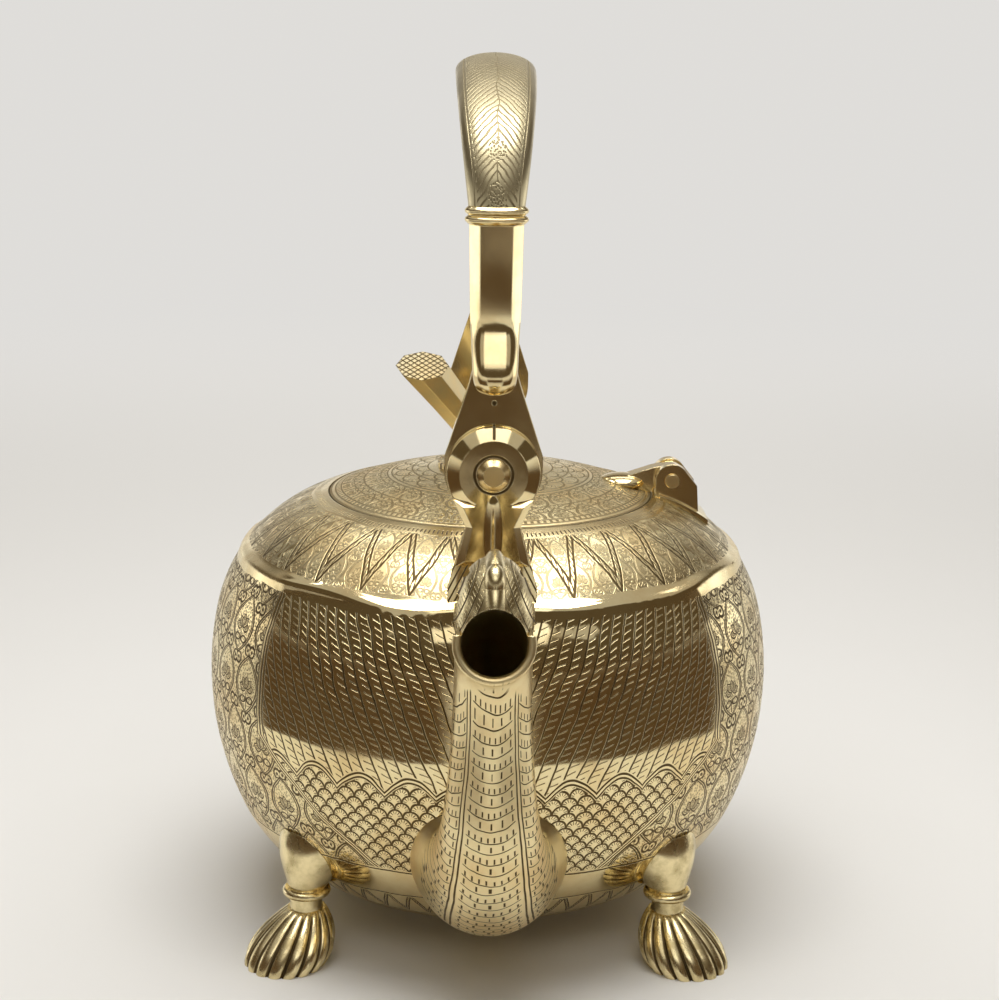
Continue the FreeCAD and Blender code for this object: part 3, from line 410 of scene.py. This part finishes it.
def brass(name, pale=PALE_BRASS, dark=WARM_BRASS, base_roughness=0.14, spread=0.10, dent=0.0002,
          cloud_size=60.0, cut=None, stain=0.95, matting=None):
    """Brass with patina and worn edges; cut and matting are functions of the tree that give masks."""
    material = bpy.data.materials.new(name)
    material.use_nodes = True
    tree = material.node_tree
    shader = tree.nodes["Principled BSDF"]
    shader.inputs["Metallic"].default_value = 1.0
    marks = {"Cloud Size": cloud_size, "Base Roughness": base_roughness, "Spread": spread}
    patina = add_group(tree, PATINA, marks)
    edges = add_group(tree, WORN_EDGES, {"Radius": EDGE_ROUND})
    worn = Wire(tree, edges.outputs["Worn"])
    colour = tinted(tree, Wire(tree, patina.outputs["Tone"]), pale, dark)
    colour = tinted(tree, worn * WORN_PALE, colour, PALE_BRASS)
    roughness = Wire(tree, patina.outputs["Roughness"]) - worn * WORN_SMOOTH
    if matting:
        roughness = roughness + matting(tree) * MATTED_ROUGH
    normal = raised(tree, Wire(tree, patina.outputs["Dents"]), dent, edges.outputs["Normal"])
    if cut:
        mask = cut(tree)
        # Cuts tinted brown; on the lid this also paints shade in the gap at its edge
        colour = tinted(tree, mask * stain, colour, CUT_AND_SHADE_BROWN)
        roughness = roughness + mask * CUT_ROUGH
        normal = raised(tree, mask, CUT_DEPTH, normal, sunk=True)
    tree.links.new(colour, shader.inputs["Base Color"])
    tree.links.new(roughness.socket, shader.inputs["Roughness"])
    tree.links.new(normal, shader.inputs["Normal"])
    return material


# Where the ornaments go, piece by piece
def body_place(tree):
    """Bearing from the spout or the back, and elevation seen from the belly's middle, in degrees."""
    x, y, z = frame_wires(tree)
    bearing = abs(angle_of(abs(x), abs(y))) * TO_DEGREES
    return bearing, angle_of(z - BELLY_HEIGHT, polar_length(x, y)) * TO_DEGREES


def shoulder_cuts(bearing, lift):
    """Zigzag band with flowers in its teeth, and ticks round the mouth."""
    ticks = ((bearing * 0.7).fract() - 0.5).line(0.2) * lift.between(MOUTH_TICKS_LOW, MOUTH_TICKS_TOP, 0.2)
    rise = (lift - SHOULDER_LOW) / SHOULDER_RISE
    teeth = engrave(ZIGZAG, Across=bearing / SHOULDER_TOOTH, Rise=rise, Width=0.07)
    tooth = rise - abs((bearing / SHOULDER_TOOTH).fract() - 0.5) * 2.0
    clear = tooth.ramp(-0.1, -0.06, 1.0, 0.0).larger(tooth.ramp(0.31, 0.35))
    bloom = engrave(SCROLLS, Across=bearing / 6.0, Up=(lift - SHOULDER_LOW) / 7.2, Width=0.045)
    band = teeth.larger(bloom * clear * 0.6) * lift.between(SHOULDER_LOW, SHOULDER_TOP, 0.1)
    return ticks.larger(band)


def side_panel_cuts(bearing, lift, outside):
    """Lotus panels on stippled ground, with a post of three lines at their edge."""
    scrolls = engrave(SCROLLS, Across=bearing / 10.0, Up=lift / 11.0, Width=0.03)
    mat = engrave(STIPPLE, Across=bearing / 0.6, Up=lift / 0.6, Size=0.4)
    panel = scrolls.larger(mat * 0.55) * outside.ramp(1.0, 1.2)
    post = outside.line(0.28).larger((abs(outside) - 0.9).line(0.2))
    return panel.larger(post) * lift.between(BAND_LOW, BAND_TOP, 0.2)


def front_panel_cuts(bearing, lift):
    """Feather strips that end on arches, with scales below."""
    slant = bearing - lift * STRIP_LEAN
    strips = engrave(STRIPS, Strip=slant / STRIP_WIDE, Along=lift / STRIP_STEP, Width=0.09)
    arch = lift - ARCH_UP - abs((bearing * (math.pi / ARCH_WIDE)).math("SINE")) * ARCH_RISE
    arches = arch.line(0.28).larger((arch + 0.9).line(0.24))
    strips = strips * arch.ramp(0.5, 0.7) * lift.ramp(BAND_TOP, BAND_TOP + 0.2, 1.0, 0.0)
    scales = engrave(SCALES, Across=bearing / SCALE_WIDE, Row=lift / SCALE_HIGH, Width=0.16)
    scales = scales * (arch + 1.2).ramp(-0.2, 0.0, 1.0, 0.0) * lift.ramp(BAND_LOW - 0.2, BAND_LOW)
    return arches.larger(strips).larger(scales)


def bottom_cuts(bearing, lift):
    """Small zigzag between rings under the belly."""
    rise = (lift - BOTTOM_LOW) / BOTTOM_RISE
    cuts = engrave(ZIGZAG, Across=bearing / BOTTOM_TOOTH, Rise=rise, Width=0.07)
    cuts = cuts * lift.between(BOTTOM_LOW, BOTTOM_TOP, 0.2)
    for ring in BODY_RINGS:
        cuts = cuts.larger((lift - ring).line(0.22))
    return cuts


def body_cuts(tree):
    """Bands of ornament round the vessel."""
    sway, heave = hand_wobble(tree, 70.0)
    bearing, lift = body_place(tree)
    bearing, lift = bearing + sway * 1.8, lift + heave * 1.8
    outside = bearing - ((lift - PANEL_TUCK_BELOW).smaller(0.0) * PANEL_TUCK + PANEL_BEARING)
    front = front_panel_cuts(bearing, lift) * outside.ramp(-1.2, -1.0, 1.0, 0.0)
    sides = side_panel_cuts(bearing, lift, outside)
    return front.larger(sides).larger(shoulder_cuts(bearing, lift)).larger(bottom_cuts(bearing, lift))


def body_matting(tree):
    """Shoulder and side panels, which the close punching leaves duller than the plain belly."""
    bearing, lift = body_place(tree)
    sides = bearing.ramp(PANEL_BEARING, PANEL_BEARING + PANEL_MATTING)
    return sides.larger(lift.ramp(MATTING_START, MATTING_FULL))


def lid_cuts_and_gap_shade(tree):
    """Turned rings with a flowered band, a border of ticks, and painted shade at the lid's edge for the gap round
    the lid.
    """
    x, y = frame_wires(tree, "XY")
    radius = polar_length(x, y)
    bearing = angle_of(y, x)
    # Painted shade: beyond 50.5 mm the lid's edge goes to the cut brown, for the shade in the gap between lid and
    # body
    cuts = radius.ramp(50.5, 50.9)
    for ring in LID_RINGS:
        cuts = cuts.larger((radius - ring).line(0.35))
    ticks = ((bearing * (150 / math.tau)).fract() - 0.5).line(0.3) * radius.between(48.2, 49.2, 0.1)
    bloom = engrave(SCROLLS, Across=bearing * 4.6, Up=radius / 8.4, Width=0.045)
    mat = engrave(STIPPLE, Across=bearing * 42.0, Up=radius / 0.9, Size=0.4)
    band = bloom.larger(mat * 0.4) * radius.between(33.4, 47.4, 0.1)
    petals = engrave(SCALES, Across=bearing * (20 / math.tau), Row=radius / 3.4, Width=0.12)
    petals = petals * radius.between(20.4, 31.2, 0.1)
    return cuts.larger(ticks).larger(band).larger(petals)


def spout_cuts(tree):
    """Feather rows down the spout's front between two long lines, and on both flanks."""
    x, y, z = frame_wires(tree)
    sway, heave = hand_wobble(tree, 90.0)
    drop = angle_of(z - SPOUT_BEND_UP, y * -1.0 - SPOUT_BEND_OUT) * TO_DEGREES + heave * 3.0
    half = drop.ramp(-60.0, 26.0, SPOUT_BAND_LOW_HALF, SPOUT_BAND_TOP_HALF)
    across = abs(x) / half + sway * 0.1
    cuts = (across - 1.0).line(0.035).larger((across - 1.14).line(0.03))
    middle = engrave(FEATHER_ROWS, Across=across, Row=drop / SPOUT_ROW, Width=0.06)
    middle = middle * across.ramp(0.95, 0.98, 1.0, 0.0)
    flank = engrave(FEATHER_ROWS, Across=(across - 1.5) * 1.6, Row=drop / SPOUT_ROW + 0.4, Width=0.06)
    flank = flank * across.between(1.2, 1.86, 0.04)
    cuts = cuts.larger(middle).larger(flank)
    return cuts * drop.between(SPOUT_LOW, SPOUT_TOP, 1.0) * (y * -1.0).ramp(92.0, 93.0)


def grip_cuts(tree):
    """Chevron feathers over the grip, with matted rosettes near both ends and a border line."""
    x, y, z = frame_wires(tree)
    sway, heave = hand_wobble(tree, 110.0)
    along = abs(angle_of(y, z - GRIP_CENTRE_UP)) * TO_DEGREES + heave * 3.0
    feathers = engrave(CHEVRONS, Across=x / 5.0 + sway * 0.5, Along=along / GRIP_BARB, Width=0.07)
    mat = engrave(STIPPLE, Across=x / 0.7, Up=along / 0.7, Size=0.45)
    first, second = [polar_length(x, along - spot) for spot in GRIP_ROSETTES]
    rosette = first.smaller(second).ramp(2.6, 2.8, 1.0, 0.0)
    margin = abs(x) - (z - GRIP_END_UP).ramp(0.0, GRIP_RISE, 5.6, 9.2)
    cuts = (feathers * rosette.opposite()).larger(mat * rosette)
    return cuts * margin.ramp(-0.3, 0.0, 1.0, 0.0) + (margin - 0.5).line(0.3) * 0.8


def finial_cuts(tree):
    """Cross-hatching on the sloping end of the finial."""
    x, y, z = frame_wires(tree)
    first = (((x + y) / HATCH_STEP).fract() - 0.5).line(0.16)
    second = (((x - y) / HATCH_STEP).fract() - 0.5).line(0.16)
    above = (z - FINIAL_TIP_Z) * math.cos(FINIAL_TILT) - (y - FINIAL_TIP_Y) * math.sin(FINIAL_TILT)
    return first.larger(second) * above.ramp(-0.2, -0.1)


def rosette_cuts(tree):
    """Petal lines round the finial's flange."""
    x, y = frame_wires(tree, "XY")
    radius = polar_length(x, y)
    petals = engrave(SCALES, Across=angle_of(y, x) * (14 / math.tau), Row=radius / 4.4, Width=0.12)
    return petals * radius.ramp(8.4, 8.8)


def lug_cuts(tree):
    """Groove round the rivet, a notch above it and leaf veins on the lug's root."""
    x, z = frame_wires(tree, "XZ")
    height = z - PIVOT_HEIGHT
    groove = (polar_length(x, height) - 5.4).line(0.5)
    notch = x.line(0.5) * height.ramp(10.0, 10.3)
    veins = (((abs(x) * 0.9 + height * 0.45) / 1.6).fract() - 0.5).line(0.16)
    return groove.larger(notch).larger(veins * height.ramp(-27.0, -26.0, 1.0, 0.0))


def hood_cuts(tree):
    """Slanting feather lines with short strokes down both cheeks of the beak."""
    x, z = frame_wires(tree, "XZ")
    side = abs(x)
    lines = engrave(STRIPS, Strip=(side * 1.2 + z * 0.5) / 2.4, Along=(z - side * 0.6) / 1.3, Width=0.1)
    return lines * side.ramp(2.6, 3.4)


def leg_cuts(tree):
    """Small punched dot in the neck under the toe."""
    x, z = frame_wires(tree, "XZ")
    return polar_length(x, z - PIVOT_HEIGHT - 19.6).ramp(0.5, 0.9, 1.0, 0.0)


def paw_cuts(tree):
    """Dark bottoms of the flutes that fan out over each paw."""
    x, y, z = frame_wires(tree)
    lean = z * (PAW_LEAN / PAW_HEIGHT * math.sqrt(0.5))
    turn = angle_of(abs(y) - SOLE_X + lean, abs(x) - SOLE_X + lean) * TO_DEGREES - 45.0
    flute = ((turn / FLUTE_TURN + 0.5).fract() - 0.5).line(0.16)
    return flute * z.ramp(PAW_HEIGHT - 2.0, PAW_HEIGHT, 1.0, 0.0)


FINISHES = {
    "engraved_body": dict(cut=body_cuts, matting=body_matting, base_roughness=0.055, spread=0.07),
    "engraved_lid": dict(cut=lid_cuts_and_gap_shade, stain=0.75, base_roughness=0.24, spread=0.12),
    "engraved_spout": dict(cut=spout_cuts, base_roughness=0.3),
    "engraved_grip": dict(pale=DULL_BRASS, dark=GRIP_SHADE, cut=grip_cuts, stain=0.6, base_roughness=0.28,
                          spread=0.12),
    "hatched_finial": dict(pale=DULL_BRASS, cut=finial_cuts, base_roughness=0.3),
    "petalled_rosette": dict(cut=rosette_cuts, base_roughness=0.2),
    "chased_lug": dict(cut=lug_cuts, base_roughness=0.06, spread=0.08),
    "dotted_leg": dict(cut=leg_cuts, base_roughness=0.09, spread=0.08),
    "chased_hood": dict(dark=HOOD_TARNISH, cut=hood_cuts, base_roughness=0.2, spread=0.14, dent=0.0005,
                        cloud_size=160.0),
    "polished_brass": dict(base_roughness=0.1, spread=0.08),
    "cast_paw": dict(dark=PAW_TARNISH, cut=paw_cuts, base_roughness=0.18, spread=0.14, dent=0.0004,
                     cloud_size=140.0),
    "cast_brass": dict(base_roughness=0.2, spread=0.14, dent=0.0005, cloud_size=140.0),
    "pin_brass": dict(pale=WARM_BRASS, base_roughness=0.25, spread=0.15),
    # Painted shade: inner surfaces darkened towards the cut brown, standing in for the shade inside the vessel
    "inner_brass": dict(pale=SHADED_INNER_BRASS, dark=CUT_AND_SHADE_BROWN, base_roughness=0.4, spread=0.2),
}
MATERIALS = {name: brass(name, **values) for name, values in FINISHES.items()}
NODE_FINISH = {
    "body_shell": "engraved_body", "spout": "engraved_spout", "lid_cover": "engraved_lid",
    "bail_grip": "engraved_grip", "finial": "hatched_finial", "finial_base": "petalled_rosette",
    "front_bail_lug": "chased_lug", "rear_bail_lug": "chased_lug", "spout_hood": "chased_hood",
    "bail_front_leg": "dotted_leg", "bail_rear_leg": "dotted_leg",
    "front_right_foot": "cast_paw", "front_left_foot": "cast_paw",
    "rear_right_foot": "cast_paw", "rear_left_foot": "cast_paw",
}
SLOT_FINISH = {
    "engraved_brass": "polished_brass", "polished_brass": "polished_brass", "cast_brass": "cast_brass",
    "pin_brass": "pin_brass", "inner_brass": "inner_brass",
}
for part in frame["record"]["subparts"]:
    finish = NODE_FINISH.get(part["node"], SLOT_FINISH[part["material_slot"]])
    mesh = frame["nodes"][part["node"]].data
    mesh.materials.clear()
    mesh.materials.append(MATERIALS[finish])


# Legs of the bail, with the boot-like toe that stands out in front of the flat tongue
LEG_OUT = 71.8
TONGUE_FRONT, TONGUE_BACK = 73.6, 70.0
EYE_RADIUS, EYE_HOLE, TONGUE_FLARE = 13.9, 3.05, 4.5
NECK_HALF, NECK_TOP = 7.2, 31.0
FACET_DEPTH, SUBDIVISIONS, LEG_SIDES = 1.6, 2, 8
# How sharp the leg's long edges stay: along its straight rings, then down the toe
STRAIGHT_CREASE, STRAIGHT_RINGS, TOE_CREASE = 0.95, 3, 0.4
SHARP_CREASE, SHARP_TURN = 0.9, 0.4
# Height above the pivot, half width, reach in front of the leg's middle and behind it, width of the facets
LEG_RINGS = [
    (69.4, 7.6, 5.0, 5.0, 2.9), (58.0, 7.4, 5.0, 5.0, 2.8), (46.0, 7.2, 5.1, 5.0, 2.7),
    (41.5, 7.0, 5.5, 4.9, 2.6), (38.5, 6.8, 6.8, 4.8, 2.5), (35.5, 6.6, 8.6, 4.6, 2.3),
    (32.5, 6.5, 10.2, 4.3, 2.2), (29.8, 6.4, 11.3, 3.8, 2.2), (27.4, 6.2, 11.8, 3.2, 2.3),
    (25.4, 5.8, 11.4, 2.6, 2.5), (23.8, 5.0, 10.0, 2.2, 2.6), (22.8, 3.9, 8.0, 1.9, 2.4),
    (22.4, 2.6, 5.6, 1.8, 1.6),
]


def leg_ring(height, half, front, back, facet):
    """Eight-sided section of the leg; the facets are cut off its four corners."""
    slope = facet * FACET_DEPTH
    return [(x, -y, height) for x, y in (
        (half - facet, LEG_OUT + front), (half, LEG_OUT + front - slope), (half, LEG_OUT - back + slope),
        (half - facet, LEG_OUT - back), (facet - half, LEG_OUT - back), (-half, LEG_OUT - back + slope),
        (-half, LEG_OUT + front - slope), (facet - half, LEG_OUT + front))]


def tongue_outline():
    """Round eye below the pivot, and straight sides that draw in up to the neck."""
    sides = 40
    turns = [math.pi + math.pi * step / sides for step in range(sides + 1)]
    eye = [(EYE_RADIUS * math.cos(turn), EYE_RADIUS * math.sin(turn)) for turn in turns]
    return eye + [(EYE_RADIUS, TONGUE_FLARE), (NECK_HALF, NECK_TOP - 6.0), (NECK_HALF - 1.5, NECK_TOP),
                  (1.5 - NECK_HALF, NECK_TOP), (-NECK_HALF, NECK_TOP - 6.0), (-EYE_RADIUS, TONGUE_FLARE)]


def eye_point(x, z):
    """Point of the rivet hole's edge in the direction of a point of the tongue's outline."""
    return EYE_HOLE * x / math.hypot(x, z), EYE_HOLE * z / math.hypot(x, z)


def leg_shape():
    """Corners and faces of the leg and then of its tongue, and where the tongue's corners start."""
    points, faces = [], []
    for ring in LEG_RINGS:
        points += leg_ring(*ring)
    for row in range(len(LEG_RINGS) - 1):
        for side in range(LEG_SIDES):
            here, there = row * LEG_SIDES + side, row * LEG_SIDES + (side + 1) % LEG_SIDES
            faces.append((here, there, there + LEG_SIDES, here + LEG_SIDES))
    faces += [list(range(LEG_SIDES))[::-1], list(range(len(points) - LEG_SIDES, len(points)))]
    outline = tongue_outline()
    start, count = len(points), len(outline)
    for out in (TONGUE_FRONT, TONGUE_BACK):
        points += [(x, -out, z) for x, z in outline]
        points += [(x, -out, z) for x, z in (eye_point(*spot) for spot in outline)]
    for step in range(count):
        after = (step + 1) % count
        rims = [start + count * loop + step for loop in range(4)]
        nexts = [start + count * loop + after for loop in range(4)]
        faces += [(rims[0], nexts[0], nexts[1], rims[1]), (rims[2], rims[3], nexts[3], nexts[2]),
                  (rims[0], rims[2], nexts[2], nexts[0]), (rims[1], nexts[1], nexts[3], rims[3])]
    return points, faces, start


def crease_leg(mesh, start):
    """Keeps the tongue, the leg's top and its facets crisp under the rounding; the toe stays soft."""
    work = bmesh.new()
    work.from_mesh(mesh)
    bmesh.ops.recalc_face_normals(work, faces=work.faces)
    for face in work.faces:
        face.smooth = True
    crease = work.edges.layers.float.new("crease_edge")
    for edge in work.edges:
        first, last = sorted(corner.index for corner in edge.verts)
        if first >= start or last < LEG_SIDES:
            edge[crease] = 1.0
        elif last - first == LEG_SIDES:
            edge[crease] = STRAIGHT_CREASE if first < STRAIGHT_RINGS * LEG_SIDES else TOE_CREASE
        edge.smooth = edge[crease] < SHARP_CREASE or edge.calc_face_angle(0.0) < SHARP_TURN
    work.to_mesh(mesh)
    work.free()


def make_leg(name, node, facing):
    """Leg and tongue of one side of the bail; facing is 1 at the front and -1 at the rear."""
    points, faces, start = leg_shape()
    placed = [(x * MILLIMETRE, y * facing * MILLIMETRE, (z + PIVOT_HEIGHT) * MILLIMETRE)
              for x, y, z in points]
    mesh = bpy.data.meshes.new(name)
    mesh.from_pydata(placed, [], faces)
    crease_leg(mesh, start)
    leg = bpy.data.objects.new(name, mesh)
    rounding = leg.modifiers.new("rounding", "SUBSURF")
    rounding.levels = rounding.render_levels = SUBDIVISIONS
    bpy.context.scene.collection.objects.link(leg)
    mesh.materials.append(MATERIALS["dotted_leg"])
    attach(leg, "bail")
    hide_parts(node)


# Shoulder of the body: its arc, and the hammered welt that runs round it in soft waves
SHOULDER_CENTRE, SHOULDER_ARC = (40.479, 87.86), 48.3
WELT_LIFT, WELT_PROUD, WELT_WIDE, WELT_REACH = math.radians(37.1), 1.0, 2.3, 8.0
# Height of each wave in millimetres, how many of it go round the body, and where it starts
WELT_WAVES = ((0.9, 7, 0.6), (0.6, 11, 2.0))
OUTSIDE_MARGIN, SHARP_ANGLE, SAME_PLACE = 0.4, math.radians(35), 0.000001


def make_body():
    """Body with the CAD body's faces, whose turned ridge is worked into a soft, wavy welt."""
    mesh = frame["nodes"]["body_shell"].data.copy()
    mesh.name = "body"
    work = bmesh.new()
    work.from_mesh(mesh)
    bmesh.ops.remove_doubles(work, verts=work.verts, dist=SAME_PLACE)
    for corner in work.verts:
        x, y, z = corner.co / MILLIMETRE
        out, up = math.hypot(x, y) - SHOULDER_CENTRE[0], z - SHOULDER_CENTRE[1]
        lift = math.atan2(up, out)
        reach = (lift - WELT_LIFT) * SHOULDER_ARC
        if abs(reach) > WELT_REACH or math.hypot(out, up) < SHOULDER_ARC - OUTSIDE_MARGIN:
            continue
        bearing = math.atan2(x, -y)
        wave = sum(high * math.sin(count * bearing + start) for high, count, start in WELT_WAVES)
        welt = SHOULDER_ARC + WELT_PROUD * math.exp(-((reach - wave) / WELT_WIDE) ** 2)
        radius = SHOULDER_CENTRE[0] + welt * math.cos(lift)
        turn = radius / math.hypot(x, y)
        corner.co = Vector((x * turn, y * turn, SHOULDER_CENTRE[1] + welt * math.sin(lift))) * MILLIMETRE
    work.to_mesh(mesh)
    work.free()
    if "custom_normal" in mesh.attributes:
        mesh.attributes.remove(mesh.attributes["custom_normal"])
    mesh.shade_smooth()
    mesh.set_sharp_from_angle(angle=SHARP_ANGLE)
    body = bpy.data.objects.new("body", mesh)
    bpy.context.scene.collection.objects.link(body)
    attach(body, "kettle")
    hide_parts("body_shell")


make_body()
make_leg("front_leg", "bail_front_leg", 1)
make_leg("rear_leg", "bail_rear_leg", -1)


# Studio in metres: pale floor, brown cards for the reflections, soft lamps and the photograph's camera
FLOOR_HUB, FLOOR_FLAT, FLOOR_SWEEP, FLOOR_TURNS, FLOOR_BENDS = 0.02, 2.2, 0.6, 96, 12
# Distance in millimetres at which the floor starts to go over into the backdrop, and at which it has
BACKDROP_START, BACKDROP_FULL = 420.0, 1500.0
CARD_HIGH, CARD_REACH, CARD_STEPS, CARD_SOLID_SHARE = 0.19, 0.26, 32, 0.62
# Bearings in degrees from the camera's side: ends of the curved cards, and of the part that is solid
CARD_FIRST, CARD_LAST, CARD_SOLID_FIRST, CARD_SOLID_LAST, CARD_FADE = 6, 100, 18.0, 84.0, 12.0
FRONT_CARD_HALF, FRONT_CARD_OUT, FRONT_CARD_HIGH = 0.13, 0.75, 0.24
CAMERA_PLACE, CAMERA_LENS, CAMERA_SENSOR = (-0.0076, -0.612, 0.275), 70.2, 36.0
CAMERA_PITCH, CAMERA_YAW, CAMERA_ROLL = math.radians(13.2), math.radians(-1.0), math.radians(0.8)
LAMP_AIM = (0, 0, 0.09)
# Name of each lamp, where it is, the point that it faces, its width and height, and its watts
LAMPS = [
    ("overhead_softbox", (0.0, -0.05, 0.75), LAMP_AIM, (0.6, 0.35), 4.4),
    ("ceiling_softbox", (0.0, -0.1, 1.35), (0, -0.1, 0), (3.0, 2.8), 9.6),
    ("back_panel", (0.0, 2.0, 0.8), (0, 0, 0.4), (3.0, 1.0), 3.3),
    ("left_softbox", (-0.75, 0.28, 0.14), LAMP_AIM, (0.36, 0.24), 0.24),
    ("right_softbox", (0.75, 0.28, 0.14), LAMP_AIM, (0.36, 0.24), 0.24),
    ("front_softbox", (0.0, -0.95, 1.1), LAMP_AIM, (1.1, 0.6), 2.2),
    ("back_softbox", (0.0, 1.2, 1.8), (0, 2.6, 0.5), (2.4, 0.8), 40.0),
]


def plain_material(name, colour, roughness):
    """Material of one colour, for the studio."""
    material = bpy.data.materials.new(name)
    material.use_nodes = True
    shader = material.node_tree.nodes["Principled BSDF"]
    shader.inputs["Base Color"].default_value = colour
    shader.inputs["Roughness"].default_value = roughness
    return material


def blend_surface(tree, mask, other):
    """Lets the surface go over from the Principled shader to another shader by a mask."""
    blend = tree.nodes.new("ShaderNodeMixShader")
    tree.links.new(mask.socket, blend.inputs["Fac"])
    tree.links.new(tree.nodes["Principled BSDF"].outputs["BSDF"], blend.inputs[1])
    tree.links.new(other, blend.inputs[2])
    tree.links.new(blend.outputs["Shader"], tree.nodes["Material Output"].inputs["Surface"])


def floor_material():
    """Pale floor whose distant part is an even backdrop to the camera and in what the brass reflects."""
    material = plain_material("pale_floor", FLOOR_PALE, 0.7)
    tree = material.node_tree
    x, y = frame_wires(tree, "XY")
    path = tree.nodes.new("ShaderNodeLightPath")
    camera, glossy, through = [Wire(tree, path.outputs[label])
                               for label in ("Is Camera Ray", "Is Glossy Ray", "Is Transmission Ray")]
    seen = camera.larger(glossy).larger(through)
    backdrop = tree.nodes.new("ShaderNodeEmission")
    backdrop.inputs["Color"].default_value = BACKDROP_PALE
    distant = polar_length(x, y).ramp(BACKDROP_START, BACKDROP_FULL) * seen
    blend_surface(tree, distant, backdrop.outputs["Emission"])
    return material


def make_floor():
    """Round floor that sweeps up into a wall."""
    profile = [(FLOOR_HUB, 0.0), (FLOOR_FLAT, 0.0)]
    for step in range(1, FLOOR_BENDS + 1):
        bend = math.pi / 2 * step / FLOOR_BENDS
        out, up = FLOOR_FLAT + FLOOR_SWEEP * math.sin(bend), FLOOR_SWEEP - FLOOR_SWEEP * math.cos(bend)
        profile.append((out, up))
    count = len(profile)
    points, faces = [], []
    for turn in range(FLOOR_TURNS):
        angle = math.tau * turn / FLOOR_TURNS
        points += [(r * math.cos(angle), r * math.sin(angle), z) for r, z in profile]
        for step in range(count - 1):
            here, there = turn * count + step, (turn + 1) % FLOOR_TURNS * count + step
            faces.append((here, here + 1, there + 1, there))
    faces.append([turn * count for turn in range(FLOOR_TURNS)])
    mesh = bpy.data.meshes.new("floor")
    mesh.from_pydata(points, [], faces)
    mesh.shade_smooth()
    mesh.materials.append(floor_material())
    floor = bpy.data.objects.new("floor", mesh)
    bpy.context.scene.collection.objects.link(floor)


def card_arc(side):
    """Plan of a curved card beside the kettle, from near the picture's middle round to its side."""
    span = CARD_LAST - CARD_FIRST
    angles = [math.radians(CARD_FIRST + span * step / CARD_STEPS) for step in range(CARD_STEPS + 1)]
    return [(side * CARD_REACH * math.sin(angle), -CARD_REACH * math.cos(angle)) for angle in angles]


def card_material(name, high, soft_ends):
    """Brown that fades out at the card's top and, where asked, at its ends."""
    material = plain_material(name, CARD_BROWN, 0.9)
    tree = material.node_tree
    x, y, z = frame_wires(tree)
    thin = (z * (MILLIMETRE / high)).ramp(CARD_SOLID_SHARE, 1.0)
    if soft_ends:
        bearing = angle_of(abs(x), y * -1.0) * TO_DEGREES
        thin = thin.larger(bearing.between(CARD_SOLID_FIRST, CARD_SOLID_LAST, CARD_FADE).opposite())
    clear = tree.nodes.new("ShaderNodeBsdfTransparent")
    blend_surface(tree, thin, clear.outputs["BSDF"])
    return material


def make_card(name, plan, high, soft_ends):
    """Brown card that only reflections see; it gives the brass its dark band."""
    points = [(x, y, z) for x, y in plan for z in (0.0, high)]
    faces = [(2 * step, 2 * step + 2, 2 * step + 3, 2 * step + 1) for step in range(len(plan) - 1)]
    mesh = bpy.data.meshes.new(name)
    mesh.from_pydata(points, [], faces)
    mesh.shade_smooth()
    mesh.materials.append(card_material(name, high, soft_ends))
    card = bpy.data.objects.new(name, mesh)
    card.visible_camera = card.visible_diffuse = card.visible_shadow = False
    bpy.context.scene.collection.objects.link(card)


def softbox(name, place, target, size, power):
    """Rectangular lamp that faces its target; the camera doesn't see it."""
    light = bpy.data.lights.new(name, "AREA")
    light.shape = "RECTANGLE"
    light.size, light.size_y = size
    light.energy = power
    lamp = bpy.data.objects.new(name, light)
    lamp.location = place
    lamp.rotation_euler = (Vector(target) - Vector(place)).to_track_quat("-Z", "Y").to_euler()
    lamp.visible_camera = False
    bpy.context.scene.collection.objects.link(lamp)


def make_world():
    """Dim brown room round the studio."""
    world = bpy.data.worlds.new("studio")
    bpy.context.scene.world = world
    world.use_nodes = True
    world.node_tree.nodes["Background"].inputs["Color"].default_value = ROOM_DUSK


def make_camera():
    """Camera of the photograph: where it stands, how it tips down and how it is rolled."""
    data = bpy.data.cameras.new("camera")
    data.sensor_fit = "HORIZONTAL"
    data.sensor_width = CAMERA_SENSOR
    data.lens = CAMERA_LENS
    camera = bpy.data.objects.new("camera", data)
    turn = Matrix.Rotation(CAMERA_YAW, 4, "Z") @ Matrix.Rotation(math.pi / 2 - CAMERA_PITCH, 4, "X")
    turn = turn @ Matrix.Rotation(CAMERA_ROLL, 4, "Z")
    camera.matrix_world = Matrix.Translation(CAMERA_PLACE) @ turn
    bpy.context.scene.collection.objects.link(camera)
    bpy.context.scene.camera = camera


make_floor()
make_card("left_card", card_arc(-1), CARD_HIGH, True)
make_card("right_card", card_arc(1), CARD_HIGH, True)
front_plan = [(-FRONT_CARD_HALF, -FRONT_CARD_OUT), (FRONT_CARD_HALF, -FRONT_CARD_OUT)]
make_card("front_card", front_plan, FRONT_CARD_HIGH, False)
make_world()
make_camera()
for lamp in LAMPS:
    softbox(*lamp)
bpy.context.scene.view_settings.view_transform = "Standard"
